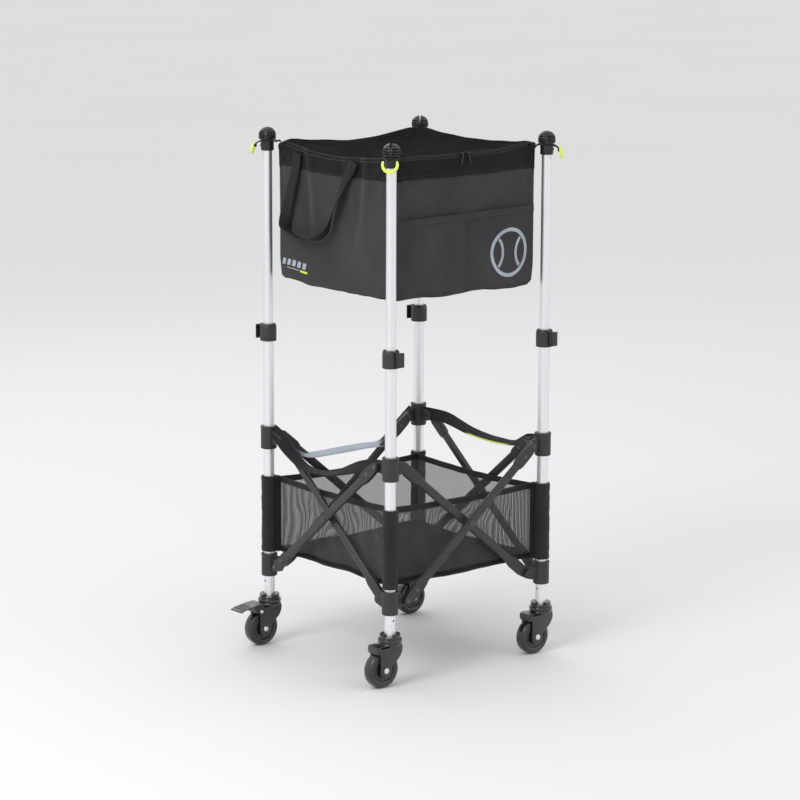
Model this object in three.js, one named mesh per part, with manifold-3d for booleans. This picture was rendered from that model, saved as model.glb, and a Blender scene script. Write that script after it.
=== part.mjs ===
// Folding wheeled ball cart: four telescopic posts on casters, scissor side frames, a zipped fabric
// hopper at the top and a mesh basket at the bottom. Millimetres, +Z up, floor at z = 0.
import * as THREE from "three";
import Module from "manifold-3d";

const wasm = await Module();
wasm.setup();

// ---- driving dimensions ----
const POST_HALF = 195; // half the distance between neighbouring post axes
const FRAME_X = 29.83; // the casters trail to one side: this centres the whole cart on the origin
const LEG_R = 11; // outer tube
const LEG_BORE_R = 10.1;
const LEG_BOTTOM = 96.3;
const LEG_TOP = 640;
const LEG_PIN_HOLE_R = 2;
const LEG_PIN_HOLE_Z = 131;
const SOCKET_R = 20; // cup that takes the leg
const SOCKET_TOP = 104;
const RACE_R = 23.4; // swivel race under the cup
const RACE_TOP = 95;
const RACE_BOTTOM = 87;
const MAST_R = 9.8; // inner tube
const MAST_BORE_R = 8.6;
const MAST_BOTTOM = 405;
const MAST_TOP = 1025;
const CAP_BOTTOM = 1006;
const CAP_NECK_TOP = 1028;
const CAP_TOP = 1052;
const CAP_NECK_R = 13;
const CAP_R = 17;
const HUB_R = 16;
const HUB_BORE_R = 11.3;
const HUB_HALF = 23; // half height of a hub
const HUB_LOW_Z = 165;
const HUB_HIGH_Z = 428;
const PIVOT_OUT = 35; // strut pivot, from the post axis
const EAR_HALF = 4;
const EAR_END_R = 9;
const STRUT_GAP = 0.4; // between an ear and a strut
const STRUT_THICK = 9;
const STRUT_HALF_W = 8.5;
const STRUT_END_HALF_W = 11.5;
const PIN_R = 3;
const PIN_HOLE_R = 3.3;
const COLLAR_BOTTOM = 625;
const COLLAR_TOP = 659;
const COLLAR_R = 16.5;
const LUG_R = 2.6; // round lug that carries the lever's pin
const LEVER_PIN = 20; // from the post axis
const LEVER_FACE = 23.2; // inner face of the lever's plate, from the post axis
const WHEEL_R = 36;
const WHEEL_HALF_W = 12;
const TRAIL = 22;
const AXLE_R = 3;
const FORK_IN = 14; // inner face of a fork cheek
const FORK_OUT = 17;
const BAG_HALF = 181.5;
const BAG_CORNER_R = 14;
const BAG_BOTTOM = 750;
const BAG_TOP = 1017;
const BAG_WALL = 2;
const LID_TOP = 1020;
const LID_THICK = 2.6;
const LID_SPLIT = 67; // the lid folds at these two lines
const BASKET_FLOOR = 198;
const BASKET_TOP = 348;
const BASKET_PLANE = 177.4; // inner face of a basket wall
const BASKET_WALL = 1.6;
const SLEEVE_BOTTOM = 192;
const SLEEVE_R = 16;
const STRAP_W = 24;
const STRAP_SAGS = { right: 22, rear: 57, left: 48 };
const STRAP_Z = 446; // upper edge where a strap leaves a hub
const HANDLE_W = 25;
const HANDLE_ENDS = [-66, 112]; // where its ends are sewn on, along the left face
const GAP = 0.3;
const ROUND = 16; // segments round a tube

const STRUT_LEN = Math.hypot(2 * (POST_HALF - PIVOT_OUT), HUB_HIGH_Z - HUB_LOW_Z);
const STRUT_ANGLE = Math.atan2(HUB_HIGH_Z - HUB_LOW_Z, 2 * (POST_HALF - PIVOT_OUT));

// the posts, by where they stand
const POSTS = [
  { name: "front_left", sx: -1, sy: -1 },
  { name: "front_right", sx: 1, sy: -1 },
  { name: "rear_left", sx: -1, sy: 1 },
  { name: "rear_right", sx: 1, sy: 1 },
];

// ---- helpers ----
const V2 = (x, y) => new THREE.Vector2(x, y);

// merges equal vertices itself, so that seams close
function solid(geometry, matrix = new THREE.Matrix4()) {
  const flat = geometry.index ? geometry.toNonIndexed() : geometry;
  const p = flat.getAttribute("position");
  const at = new Map();
  const verts = [];
  const tris = [];
  const v = new THREE.Vector3();
  for (let i = 0; i < p.count; i++) {
    v.fromBufferAttribute(p, i).applyMatrix4(matrix);
    const key = [v.x, v.y, v.z].map((c) => Math.round(c * 1e4)).join();
    if (!at.has(key)) {
      at.set(key, verts.length / 3);
      verts.push(v.x, v.y, v.z);
    }
    tris.push(at.get(key));
  }
  const kept = [];
  for (let i = 0; i < tris.length; i += 3) {
    const [a, b, c] = tris.slice(i, i + 3);
    if (a !== b && b !== c && a !== c) kept.push(a, b, c);
  }
  const mesh = new wasm.Mesh({
    numProp: 3,
    vertProperties: new Float32Array(verts),
    triVerts: new Uint32Array(kept),
  });
  return new wasm.Manifold(mesh);
}

const move = (x, y, z) => new THREE.Matrix4().makeTranslation(x, y, z);

function box(x0, x1, y0, y1, z0, z1) {
  const g = new THREE.BoxGeometry(x1 - x0, y1 - y0, z1 - z0);
  return solid(g, move((x0 + x1) / 2, (y0 + y1) / 2, (z0 + z1) / 2));
}

// profile: [radius, z] pairs from the axis and back to it, or a closed ring; anticlockwise
function turned(profile, segments = ROUND, matrix = new THREE.Matrix4()) {
  const g = new THREE.LatheGeometry(profile.map(([r, z]) => V2(r, z)), segments);
  const up = new THREE.Matrix4().makeRotationX(Math.PI / 2);
  return solid(g, matrix.clone().multiply(up));
}

function rod(r, z0, z1, segments = ROUND, matrix = new THREE.Matrix4()) {
  return turned([[0, z0], [r, z0], [r, z1], [0, z1]], segments, matrix);
}

function ring(rIn, rOut, z0, z1, segments = ROUND) {
  return turned([[rIn, z0], [rOut, z0], [rOut, z1], [rIn, z1], [rIn, z0]], segments);
}

// a flat outline in the XZ plane, given thickness from y0 to y1
function plate(points, y0, y1) {
  const g = new THREE.ExtrudeGeometry(new THREE.Shape(points), {
    depth: y1 - y0,
    bevelEnabled: false,
  });
  const m = move(0, y1, 0).multiply(new THREE.Matrix4().makeRotationX(Math.PI / 2));
  return solid(g, m);
}

// a flat outline in the XY plane, given thickness from z0 to z1
function slab(points, z0, z1) {
  const g = new THREE.ExtrudeGeometry(new THREE.Shape(points), {
    depth: z1 - z0,
    bevelEnabled: false,
  });
  return solid(g, move(0, 0, z0));
}

function arc(cx, cy, r, from, to, steps) {
  const out = [];
  for (let i = 0; i <= steps; i++) {
    const t = from + ((to - from) * i) / steps;
    out.push(V2(cx + r * Math.cos(t), cy + r * Math.sin(t)));
  }
  return out;
}

function roundedSquare(half, r, steps = 6) {
  const c = half - r;
  const q = Math.PI / 2;
  return [
    ...arc(c, -c, r, -q, 0, steps),
    ...arc(c, c, r, 0, q, steps),
    ...arc(-c, c, r, q, 2 * q, steps),
    ...arc(-c, -c, r, 2 * q, 3 * q, steps),
  ];
}

function toMesh(name, manifold, colour, metalness, roughness) {
  const m = manifold.getMesh();
  const n = m.numProp;
  const v = new Float32Array(m.numVert * 3);
  for (let i = 0; i < m.numVert; i++) {
    v.set(m.vertProperties.subarray(i * n, i * n + 3), i * 3);
  }
  const g = new THREE.BufferGeometry();
  g.setAttribute("position", new THREE.BufferAttribute(v, 3));
  g.setIndex(new THREE.BufferAttribute(new Uint32Array(m.triVerts), 1));
  g.computeVertexNormals();
  const material = new THREE.MeshStandardMaterial({ color: colour, metalness, roughness });
  material.name = name;
  const mesh = new THREE.Mesh(g, material);
  mesh.name = name;
  return mesh;
}

const shift = (s, x, y, z = 0) => s.translate([x, y, z]);
const around = (s, degrees) => s.rotate([0, 0, degrees]);

// ---- one of each piece, on the axis of a post ----

// tube welded into the caster cup; the small cross hole faces outwards, at `out` degrees
function leg(out) {
  const tube = ring(LEG_BORE_R, LEG_R, LEG_BOTTOM, LEG_TOP);
  const cup = turned(
    [
      [5.4, RACE_BOTTOM],
      [RACE_R - 1, RACE_BOTTOM],
      [RACE_R, RACE_BOTTOM + 1.2],
      [RACE_R, RACE_TOP - 1.2],
      [RACE_R - 1.4, RACE_TOP],
      [SOCKET_R, RACE_TOP],
      [SOCKET_R, SOCKET_TOP - 1.5],
      [SOCKET_R - 1.5, SOCKET_TOP],
      [LEG_R - 0.5, SOCKET_TOP],
      [LEG_R - 0.5, LEG_BOTTOM + 2],
      [5.4, LEG_BOTTOM + 2],
      [5.4, RACE_BOTTOM],
    ],
    20,
  );
  const hole = rod(LEG_PIN_HOLE_R, 0, 20, 10, new THREE.Matrix4().makeRotationY(Math.PI / 2));
  return tube.add(cup).subtract(around(shift(hole, 0, 0, LEG_PIN_HOLE_Z), out));
}

// sliding or fixed hub with one ear towards +X and one towards +Y
function hub(z) {
  const body = turned([
    [HUB_BORE_R, z - HUB_HALF],
    [HUB_R - 1.2, z - HUB_HALF],
    [HUB_R, z - HUB_HALF + 1.5],
    [HUB_R, z + HUB_HALF - 3],
    [HUB_R + 0.8, z + HUB_HALF - 2.4],
    [HUB_R + 0.8, z + HUB_HALF - 0.8],
    [HUB_R, z + HUB_HALF],
    [HUB_BORE_R, z + HUB_HALF],
    [HUB_BORE_R, z - HUB_HALF],
  ]);
  const q = Math.PI / 2;
  const outline = [
    V2(HUB_BORE_R + 1.5, z - 15),
    V2(22, z - 13),
    ...arc(PIVOT_OUT, z, EAR_END_R, -q, q, 6),
    V2(22, z + 13),
    V2(HUB_BORE_R + 1.5, z + 15),
  ];
  const pin = new THREE.Matrix4().makeRotationX(q);
  const ear = plate(outline, -EAR_HALF, EAR_HALF).subtract(
    shift(rod(PIN_HOLE_R, -20, 20, 10, pin), PIVOT_OUT, 0, z),
  );
  const other = ear.mirror([1, -1, 0]);
  return body.add(ear).add(other).subtract(rod(HUB_BORE_R, z - 40, z + 40));
}

// in the XZ plane, lower pivot at the origin, rising towards +X; the ear side is y = 0, body to -Y
function strut() {
  const q = Math.PI / 2;
  const w = STRUT_HALF_W;
  const e = STRUT_END_HALF_W;
  const half = [V2(14, e), V2(46, e), V2(52, w)];
  const outline = [
    ...arc(0, 0, w, q, 3 * q, 6),
    ...half.map((p) => V2(p.x, -p.y)),
    ...half.map((p) => V2(STRUT_LEN - p.x, -p.y)).reverse(),
    ...arc(STRUT_LEN, 0, w, -q, q, 6),
    ...half.map((p) => V2(STRUT_LEN - p.x, p.y)),
    ...half.slice().reverse(),
  ];
  const bar = plate(outline, -STRUT_THICK, 0);
  const y = new THREE.Matrix4().makeRotationX(q);
  // the lower pin enters the ear; rivet heads show on the outer side
  const pin = rod(PIN_R, -2 * EAR_HALF + 1.4, 1, 10, y);
  const head = turned([[0, 0], [5, 0], [4.2, 1.4], [0, 1.8]], 10, y);
  let made = bar.add(pin);
  for (const x of [0, 30, STRUT_LEN / 2, STRUT_LEN - 30, STRUT_LEN]) {
    made = made.add(shift(head, x, -STRUT_THICK + 0.1, 0));
  }
  return made.rotate([0, (-STRUT_ANGLE * 180) / Math.PI, 0]);
}

function cap(out) {
  const r = CAP_R;
  let body = turned(
    [
      [MAST_R + GAP, CAP_BOTTOM],
      [CAP_NECK_R, CAP_BOTTOM],
      [CAP_NECK_R, CAP_NECK_TOP - 1],
      [r - 1.4, CAP_NECK_TOP],
      [r, CAP_NECK_TOP + 3],
      [r, CAP_NECK_TOP + 10],
      [r * 0.94, CAP_TOP - 9.5],
      [r * 0.82, CAP_TOP - 5.6],
      [r * 0.6, CAP_TOP - 2.4],
      [r * 0.32, CAP_TOP - 0.6],
      [0, CAP_TOP],
      [0, MAST_TOP + GAP],
      [MAST_R + GAP, MAST_TOP + GAP],
      [MAST_R + GAP, CAP_BOTTOM],
    ],
    16,
  );
  // cord slot across the top, and three grooves each side of a rib
  const slot = box(-30, 30, -1.9, 1.9, CAP_TOP - 12, CAP_TOP + 5);
  const key = rod(3.4, CAP_TOP - 12, CAP_TOP + 5, 10);
  body = body.subtract(slot).subtract(key);
  for (let i = 0; i < 3; i++) {
    const z = CAP_NECK_TOP + 3.4 + 4.6 * i;
    const groove = ring(r - 2.2, r + 5, z, z + 2.4, 16);
    const rib = box(-30, 30, -3, 3, z - 1, z + 4).add(box(-3, 3, -30, 30, z - 1, z + 4));
    body = body.subtract(groove.subtract(rib));
  }
  const screw = turned([[0, 0], [2.6, 0], [2.2, 1.2], [0, 1.4]], 8).rotate([0, 90, 0]);
  body = body.add(shift(screw, CAP_NECK_R - 0.3, 0, CAP_BOTTOM + 9));
  return around(body, out);
}

// crescent pull that hangs outside the cap, in the plane across the outward direction
function pull(out) {
  const pi = Math.PI;
  const outline = [
    ...arc(0, 0, 16, pi, 2 * pi, 12),
    V2(16, 5),
    ...arc(12.6, 5, 3.4, 0, pi, 4),
    ...arc(0, 0, 9.2, 2 * pi, pi, 10),
    ...arc(-12.6, 5, 3.4, 0, pi, 4),
  ];
  const ringShape = plate(outline, -3.2, 3.2);
  return around(shift(ringShape.rotate([0, 0, 90]), 24.4, 0, 1015), out);
}

// clamp collar on top of the leg; the clamp faces `face` degrees
function collar(face) {
  let body = turned([
    [HUB_BORE_R, COLLAR_BOTTOM],
    [COLLAR_R - 1, COLLAR_BOTTOM],
    [COLLAR_R, COLLAR_BOTTOM + 1],
    [COLLAR_R, COLLAR_TOP - 3],
    [COLLAR_R - 3, COLLAR_TOP],
    [MAST_R + GAP, COLLAR_TOP],
    [MAST_R + GAP, LEG_TOP + GAP],
    [HUB_BORE_R, LEG_TOP + GAP],
    [HUB_BORE_R, COLLAR_BOTTOM],
  ]);
  const z0 = COLLAR_BOTTOM + 6;
  const z1 = COLLAR_TOP - 6;
  const eye = shift(rod(LUG_R, z0, z1, 16), LEVER_PIN, 0, 0);
  const lug = eye.add(box(12, LEVER_PIN, -LUG_R, LUG_R, z0, z1));
  const slit = box(10, 30, -LUG_R - 2, -LUG_R - 0.6, COLLAR_BOTTOM - 1, COLLAR_TOP + 1);
  const bore = rod(HUB_BORE_R, COLLAR_BOTTOM - 1, LEG_TOP + GAP);
  const upper = rod(MAST_R + GAP, LEG_TOP - 1, COLLAR_TOP + 1);
  const pinHole = shift(rod(1.5, z0 - 1, z1 + 1, 12), LEVER_PIN, 0, 0);
  body = body.add(lug).subtract(bore).subtract(upper).subtract(slit).subtract(pinHole);
  return around(body, face);
}

// flip lever: a cheek above and one below the lug, on a vertical pin, with a plate along the collar
function lever(face) {
  const z0 = COLLAR_BOTTOM + 6 - GAP;
  const z1 = COLLAR_TOP - 6 + GAP;
  const x = LEVER_PIN;
  const shape = [
    ...arc(x, 0, LUG_R, 0.75 * Math.PI, 1.5 * Math.PI, 8),
    V2(LEVER_FACE + 1.2, -LUG_R),
    V2(LEVER_FACE + 3, -0.6),
    V2(LEVER_FACE + 3, 8.4),
    V2(LEVER_FACE, 12),
    V2(x + 1, 9.5),
  ];
  const top = slab(shape, z1, z1 + 2.6);
  const low = slab(shape, z0 - 2.6, z0);
  const front = [
    V2(LEVER_FACE, -1.6),
    V2(LEVER_FACE + 1.6, -2.2),
    V2(LEVER_FACE + 3, -0.6),
    V2(LEVER_FACE + 3, 9.4),
    V2(LEVER_FACE + 1.4, 13.4),
    V2(LEVER_FACE - 0.6, 13.4),
    V2(LEVER_FACE, 9),
  ];
  const pin = shift(rod(1.2, z0 - 1, z1 + 1, 12), x, 0, 0);
  return around(top.add(low).add(slab(front, z0 - 2.6, z1 + 2.6)).add(pin), face);
}

// trails towards -X; swivel axis at the origin
function fork() {
  const q = Math.PI / 2;
  const y = new THREE.Matrix4().makeRotationX(q);
  const outline = [
    V2(17, 85),
    V2(-37, 85),
    V2(-41, 80),
    V2(-41, 68),
    V2(-34, 52),
    ...arc(-TRAIL, WHEEL_R, 9, Math.PI, 2 * Math.PI, 10),
    V2(-9, 50),
    V2(8, 68),
    V2(17, 76),
  ];
  const cheek = plate(outline, FORK_IN, FORK_OUT);
  const web = box(-36, 15, -FORK_OUT, FORK_OUT, 79.5, 85);
  const disc = turned([[0, 79.5], [21, 79.5], [22, 81], [22, 86.7], [0, 86.7]], 16);
  const stem = rod(4.6, 84, 97, 10);
  const axle = shift(rod(AXLE_R, -18.5, 18.5, 10, y), -TRAIL, 0, WHEEL_R);
  const nut = shift(rod(5.6, FORK_OUT - 0.2, FORK_OUT + 2.6, 6, y), -TRAIL, 0, WHEEL_R);
  const pinHole = shift(rod(2.3, -20, 20, 10, y), -34, 0, 74);
  return cheek
    .add(cheek.mirror([0, 1, 0]))
    .add(web)
    .add(disc)
    .add(stem)
    .add(axle)
    .add(nut)
    .add(nut.mirror([0, 1, 0]))
    .subtract(pinHole);
}

function wheel() {
  const h = WHEEL_HALF_W;
  const r = WHEEL_R;
  const side = [
    [AXLE_R + GAP, -FORK_IN + 0.5],
    [9, -FORK_IN + 0.5],
    [9.6, -h + 1.8],
    [22, -h + 1.8],
    [23, -h],
    [33, -h],
    [r - 0.3, -h + 5],
  ];
  const other = side.map(([a, b]) => [a, -b]).reverse();
  const y = new THREE.Matrix4().makeRotationX(Math.PI / 2);
  return turned([...side, [r, 0], ...other, side[0]], 24, y);
}

function brakePedal() {
  const outline = [
    V2(-27, 87.5),
    V2(-46, 85.5),
    V2(-82, 77),
    V2(-89, 72.5),
    V2(-90.5, 74.3),
    V2(-83, 79.8),
    V2(-46, 88.2),
    V2(-27, 90),
  ];
  const top = plate(outline, -20, 20).subtract(rod(RACE_R + 1.2, 60, 120, 32));
  const ear = plate([V2(-29, 69), V2(-26.6, 88.5), V2(-52, 86.5), V2(-40, 69)], 17.4, 20);
  const y = new THREE.Matrix4().makeRotationX(Math.PI / 2);
  const pin = shift(rod(2, 14.4, 21.4, 10, y), -34, 0, 74);
  const one = ear.add(pin);
  const cleared = top.add(one).add(one.mirror([0, 1, 0]));
  return cleared.subtract(rod(RACE_R + 1.2, 60, 120, 32));
}

function bagBody() {
  const outer = slab(roundedSquare(BAG_HALF, BAG_CORNER_R), BAG_BOTTOM, BAG_TOP);
  const inner = slab(
    roundedSquare(BAG_HALF - BAG_WALL, BAG_CORNER_R - BAG_WALL),
    BAG_BOTTOM + BAG_WALL,
    BAG_TOP + 1,
  );
  return outer.subtract(inner);
}

function lidPanel(y0, y1) {
  const whole = slab(roundedSquare(BAG_HALF - 1, BAG_CORNER_R), LID_TOP - LID_THICK, LID_TOP);
  return whole.intersect(box(-300, 300, y0, y1, LID_TOP - 20, LID_TOP + 20));
}

function basket() {
  const p = BASKET_PLANE;
  const w = BASKET_WALL;
  const reach = POST_HALF;
  let made = box(-p - 1, p + 1, -p - 1, p + 1, BASKET_FLOOR, BASKET_FLOOR + 2);
  const wall = box(-reach, reach, -p - w, -p, BASKET_FLOOR, BASKET_TOP);
  for (let k = 0; k < 4; k++) {
    made = made.add(around(wall, 90 * k));
  }
  // each sleeve is sewn to its two walls along a narrow web
  const sleeve = rod(SLEEVE_R, SLEEVE_BOTTOM, BASKET_TOP)
    .add(box(-7, 7, 7, reach - p - 0.6, BASKET_FLOOR, BASKET_TOP))
    .add(box(7, reach - p - 0.6, -7, 7, BASKET_FLOOR, BASKET_TOP));
  for (const { sx, sy } of POSTS) {
    made = made.add(corner(sleeve, sx, sy));
  }
  for (const { sx, sy } of POSTS) {
    made = made.subtract(shift(rod(HUB_BORE_R, 0, 600), sx * reach, sy * reach));
  }
  return made;
}

// sagging band in the XZ plane between two posts, in the middle of a side
// a band that hangs between two upper hubs
function strap(sag) {
  const reach = POST_HALF - PIVOT_OUT - EAR_END_R - 0.6;
  const n = 12;
  const top = [];
  const low = [];
  for (let i = 0; i <= n; i++) {
    const t = -1 + (2 * i) / n;
    const z = STRAP_Z - sag * (1 - t ** 4) * 0.9 - sag * 0.1 * (1 - t * t);
    top.push(V2(t * reach, z));
    low.push(V2(t * reach, z - STRAP_W));
  }
  return plate([...low, ...top.reverse()], -0.8, 0.8);
}

// hanging webbing loop in the YZ plane on the left side
function handle() {
  const outline = [
    V2(HANDLE_ENDS[1] + HANDLE_W / 2, 1006),
    V2(HANDLE_ENDS[1] - HANDLE_W / 2, 1006),
    V2(131, 884),
    V2(121, 866),
    V2(98, 857),
    V2(48, 857),
    V2(-1, 872),
    V2(-16, 900),
    V2(HANDLE_ENDS[0] + HANDLE_W / 2, 1006),
    V2(HANDLE_ENDS[0] - HANDLE_W / 2, 1006),
    V2(-34, 892),
    V2(-12, 854),
    V2(48, 833),
    V2(100, 833),
    V2(142, 848),
    V2(157, 880),
  ];
  const flat = plate(outline.reverse(), -1.2, 1.2).rotate([0, 0, 90]);
  const wall = -BAG_HALF - GAP;
  const tab = (y) => box(wall - 4, wall, y - 12, y + 12, 990, 1004);
  return shift(flat, wall - 5, 0, 0).add(tab(HANDLE_ENDS[0])).add(tab(HANDLE_ENDS[1]));
}

// ---- assembly ----
const part = new THREE.Group();
part.name = "folding_ball_cart";
const BLACK = 0x1c1c1e;
const ALU = 0xd9dadc;
const NEON = 0xc8ef2a;
const put = (name, s, colour, metal = 0, rough = 0.55) => {
  part.add(toMesh(name, shift(s, FRAME_X, 0), colour, metal, rough));
};

// mirrors a piece made for a corner with its ears towards +X and +Y
function corner(s, sx, sy) {
  let made = s;
  if (sx > 0) made = made.mirror([1, 0, 0]);
  if (sy > 0) made = made.mirror([0, 1, 0]);
  return shift(made, sx * POST_HALF, sy * POST_HALF);
}

for (const { name, sx, sy } of POSTS) {
  const x = sx * POST_HALF;
  const y = sy * POST_HALF;
  const out = (Math.atan2(sy, sx) * 180) / Math.PI;
  const face = sy * 90;
  put(`leg_${name}`, shift(leg(out), x, y), ALU, 0.9, 0.35);
  put(`hub_lower_${name}`, corner(hub(HUB_LOW_Z), sx, sy), BLACK);
  put(`hub_upper_${name}`, corner(hub(HUB_HIGH_Z), sx, sy), BLACK);
  put(`collar_${name}`, shift(collar(face), x, y), BLACK);
  put(`lever_${name}`, shift(lever(face), x, y), BLACK);
  put(`mast_${name}`, shift(ring(MAST_BORE_R, MAST_R, MAST_BOTTOM, MAST_TOP), x, y), ALU, 0.9, 0.35);
  put(`cap_${name}`, shift(cap(out), x, y), BLACK);
  put(`pull_${name}`, shift(pull(out), x, y), NEON);
  put(`fork_${name}`, shift(fork(), x, y), BLACK);
  put(`wheel_${name}`, shift(wheel(), x - TRAIL, y, WHEEL_R), BLACK);
}
put("brake_pedal", shift(brakePedal(), -POST_HALF, POST_HALF), BLACK, 0.8, 0.3);

// each side has an outer strut and an inner strut that cross
const SIDES = [
  { name: "front", turn: 0 },
  { name: "right", turn: 90 },
  { name: "rear", turn: 180 },
  { name: "left", turn: 270 },
];
for (const { name, turn } of SIDES) {
  const low = -POST_HALF + PIVOT_OUT;
  const off = EAR_HALF + STRUT_GAP;
  const outer = shift(strut(), low, -POST_HALF - off, HUB_LOW_Z);
  const inner = shift(strut().rotate([0, 0, 180]), -low, -POST_HALF + off, HUB_LOW_Z);
  put(`strut_${name}_outer`, around(outer, turn), BLACK);
  put(`strut_${name}_inner`, around(inner, turn), BLACK);
}
for (const { name, turn } of SIDES.slice(1)) {
  put(`strap_${name}`, around(shift(strap(STRAP_SAGS[name]), 0, -POST_HALF), turn), BLACK, 0, 0.9);
}

put("basket", basket(), BLACK, 0, 0.9);
put("bag_body", bagBody(), BLACK, 0, 0.9);
put("bag_lid_rear", lidPanel(LID_SPLIT, 300), BLACK, 0, 0.9);
put("bag_lid_middle", lidPanel(-LID_SPLIT + GAP, LID_SPLIT - GAP), BLACK, 0, 0.9);
put("bag_lid_front", lidPanel(-300, -LID_SPLIT), BLACK, 0, 0.9);
put("bag_handle", handle(), BLACK, 0, 0.9);

export default part;
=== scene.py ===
"""Looks of the folding ball cart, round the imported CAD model. Metres, +Z up, front towards -Y."""
import math

import bmesh
import bpy
import numpy as np
from mathutils import Matrix, Vector, noise


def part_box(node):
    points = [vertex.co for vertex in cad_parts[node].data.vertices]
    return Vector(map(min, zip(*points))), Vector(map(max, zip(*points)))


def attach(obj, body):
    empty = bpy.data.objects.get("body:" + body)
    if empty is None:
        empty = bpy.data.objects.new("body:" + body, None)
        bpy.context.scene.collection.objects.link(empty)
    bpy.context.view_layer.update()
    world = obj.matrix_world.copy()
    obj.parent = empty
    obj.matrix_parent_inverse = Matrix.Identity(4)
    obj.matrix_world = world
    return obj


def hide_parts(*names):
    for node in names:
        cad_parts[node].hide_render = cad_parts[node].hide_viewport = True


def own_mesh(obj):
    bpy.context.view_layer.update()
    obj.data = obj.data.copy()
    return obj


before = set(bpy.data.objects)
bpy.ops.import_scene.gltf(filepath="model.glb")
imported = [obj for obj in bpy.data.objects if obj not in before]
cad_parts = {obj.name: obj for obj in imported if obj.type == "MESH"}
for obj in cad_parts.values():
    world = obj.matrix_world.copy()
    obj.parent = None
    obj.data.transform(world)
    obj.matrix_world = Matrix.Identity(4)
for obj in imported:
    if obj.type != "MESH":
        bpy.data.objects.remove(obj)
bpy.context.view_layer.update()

# ---- places read from the CAD ----
POSTS = ("front_left", "front_right", "rear_left", "rear_right")


def axis_of(node):
    low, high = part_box(node)
    return Vector(((low.x + high.x) / 2, (low.y + high.y) / 2, 0))


POST = {name: axis_of("mast_" + name) for name in POSTS}
CENTRE = sum(POST.values(), Vector()) / 4
HALF = (POST["front_right"].x - POST["front_left"].x) / 2
BAG_LOW, BAG_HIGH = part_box("bag_body")
BAG_HALF = (BAG_HIGH.x - BAG_LOW.x) / 2
BASKET_LOW, BASKET_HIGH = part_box("basket")
BASKET_TOP = BASKET_HIGH.z
PIN_LOW, PIN_HIGH, PIN_RISE = 0.165, 0.428, 0.263  # heights of the strut pins
PIN_OUT = 0.035  # from a post's axis to its strut pins
AXLE_BACK, AXLE_UP = 0.022, 0.036  # a wheel's axle: how far behind its post, and how high
FRONT_LEFT = "mast_front_left"  # the body that the front and left of the bag ride on
UP = Vector((0, 0, 1))


# ---- camera: at the photograph's angle and field of view ----
def make_camera():
    azimuth, elevation = math.radians(-39.23), math.radians(10.64)
    distance, aim = 5.847, CENTRE + Vector((0, 0, 0.55))
    data = bpy.data.cameras.new("camera")
    data.lens = 131.9
    data.sensor_width = 36
    data.clip_end = 200
    cam = bpy.data.objects.new("camera", data)
    bpy.context.scene.collection.objects.link(cam)
    flat = math.cos(elevation)
    back = Vector((math.sin(azimuth) * flat, -math.cos(azimuth) * flat, math.sin(elevation)))
    cam.location = aim + back * distance
    look = (-back).to_track_quat("-Z", "Y").to_matrix()
    for angle, axis in ((0.104, "Y"), (-0.387, "X"), (0.24, "Z")):
        look = look @ Matrix.Rotation(math.radians(angle), 3, axis)
    cam.rotation_euler = look.to_euler()
    bpy.context.scene.camera = cam


# ---- materials ----
class Shader:
    """A Principled material with a few helpers for its procedural detail."""

    def __init__(self, name, colour, roughness, metallic=0.0, **sockets):
        self.mat = bpy.data.materials.new(name)
        self.mat.use_nodes = True
        self.tree = self.mat.node_tree
        self.bsdf = self.tree.nodes["Principled BSDF"]
        self.colour = colour
        self.normal = None
        sockets.update(Base_Color=(*colour, 1), Roughness=roughness, Metallic=metallic)
        self.fill(self.bsdf, sockets)

    def fill(self, node, inputs):
        """Gives each input a number, a tuple or another node's output."""
        for key, value in inputs.items():
            socket = node.inputs[key.replace("_", " ")]
            if isinstance(value, bpy.types.NodeSocket):
                self.tree.links.new(value, socket)
            else:
                socket.default_value = value
        return node

    def node(self, kind, **inputs):
        return self.fill(self.tree.nodes.new("ShaderNode" + kind), inputs)

    def coords(self, kind="Object", scale=(1, 1, 1)):
        source = self.node("TexCoord").outputs[kind]
        return self.node("Mapping", Vector=source, Scale=scale).outputs["Vector"]

    def split(self):
        """U and V of a cloth, in metres."""
        made = self.node("SeparateXYZ", Vector=self.coords("UV"))
        return made.outputs["X"], made.outputs["Y"]

    def noise(self, vector, scale, detail=4.0, roughness=0.55):
        made = self.node(
            "TexNoise", Vector=vector, Scale=scale, Detail=detail, Roughness=roughness
        )
        return made.outputs["Fac"]

    def ramp(self, value, low=0, high=1, at=(0.3, 0.7)):
        made = self.node(
            "MapRange", Value=value, From_Min=at[0], From_Max=at[1], To_Min=low, To_Max=high
        )
        return made.outputs["Result"]

    def math(self, operation, a, b=0.0):
        made = self.node("Math")
        made.operation = operation
        for socket, value in zip(made.inputs, (a, b)):
            if isinstance(value, bpy.types.NodeSocket):
                self.tree.links.new(value, socket)
            else:
                socket.default_value = value
        return made.outputs["Value"]

    def tint(self, value, a, b):
        """The base colour, from a to b as value goes from 0 to 1."""
        made = self.node("Mix")
        made.data_type = "RGBA"
        self.fill(made, {"A": (*a, 1), "B": (*b, 1), "Factor": value})
        self.fill(self.bsdf, {"Base Color": made.outputs["Result"]})

    def shade(self, value, dark, light):
        """The base colour times something from dark to light."""
        self.tint(value, [c * dark for c in self.colour], [min(1, c * light) for c in self.colour])

    def rough(self, value, low, high):
        self.fill(self.bsdf, {"Roughness": self.ramp(value, low, high)})

    def bump(self, value, distance, strength=1.0):
        inputs = {"Strength": strength, "Distance": distance, "Height": value}
        if self.normal is not None:
            inputs["Normal"] = self.normal
        self.normal = self.node("Bump", **inputs).outputs["Normal"]
        self.fill(self.bsdf, {"Normal": self.normal})


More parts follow.
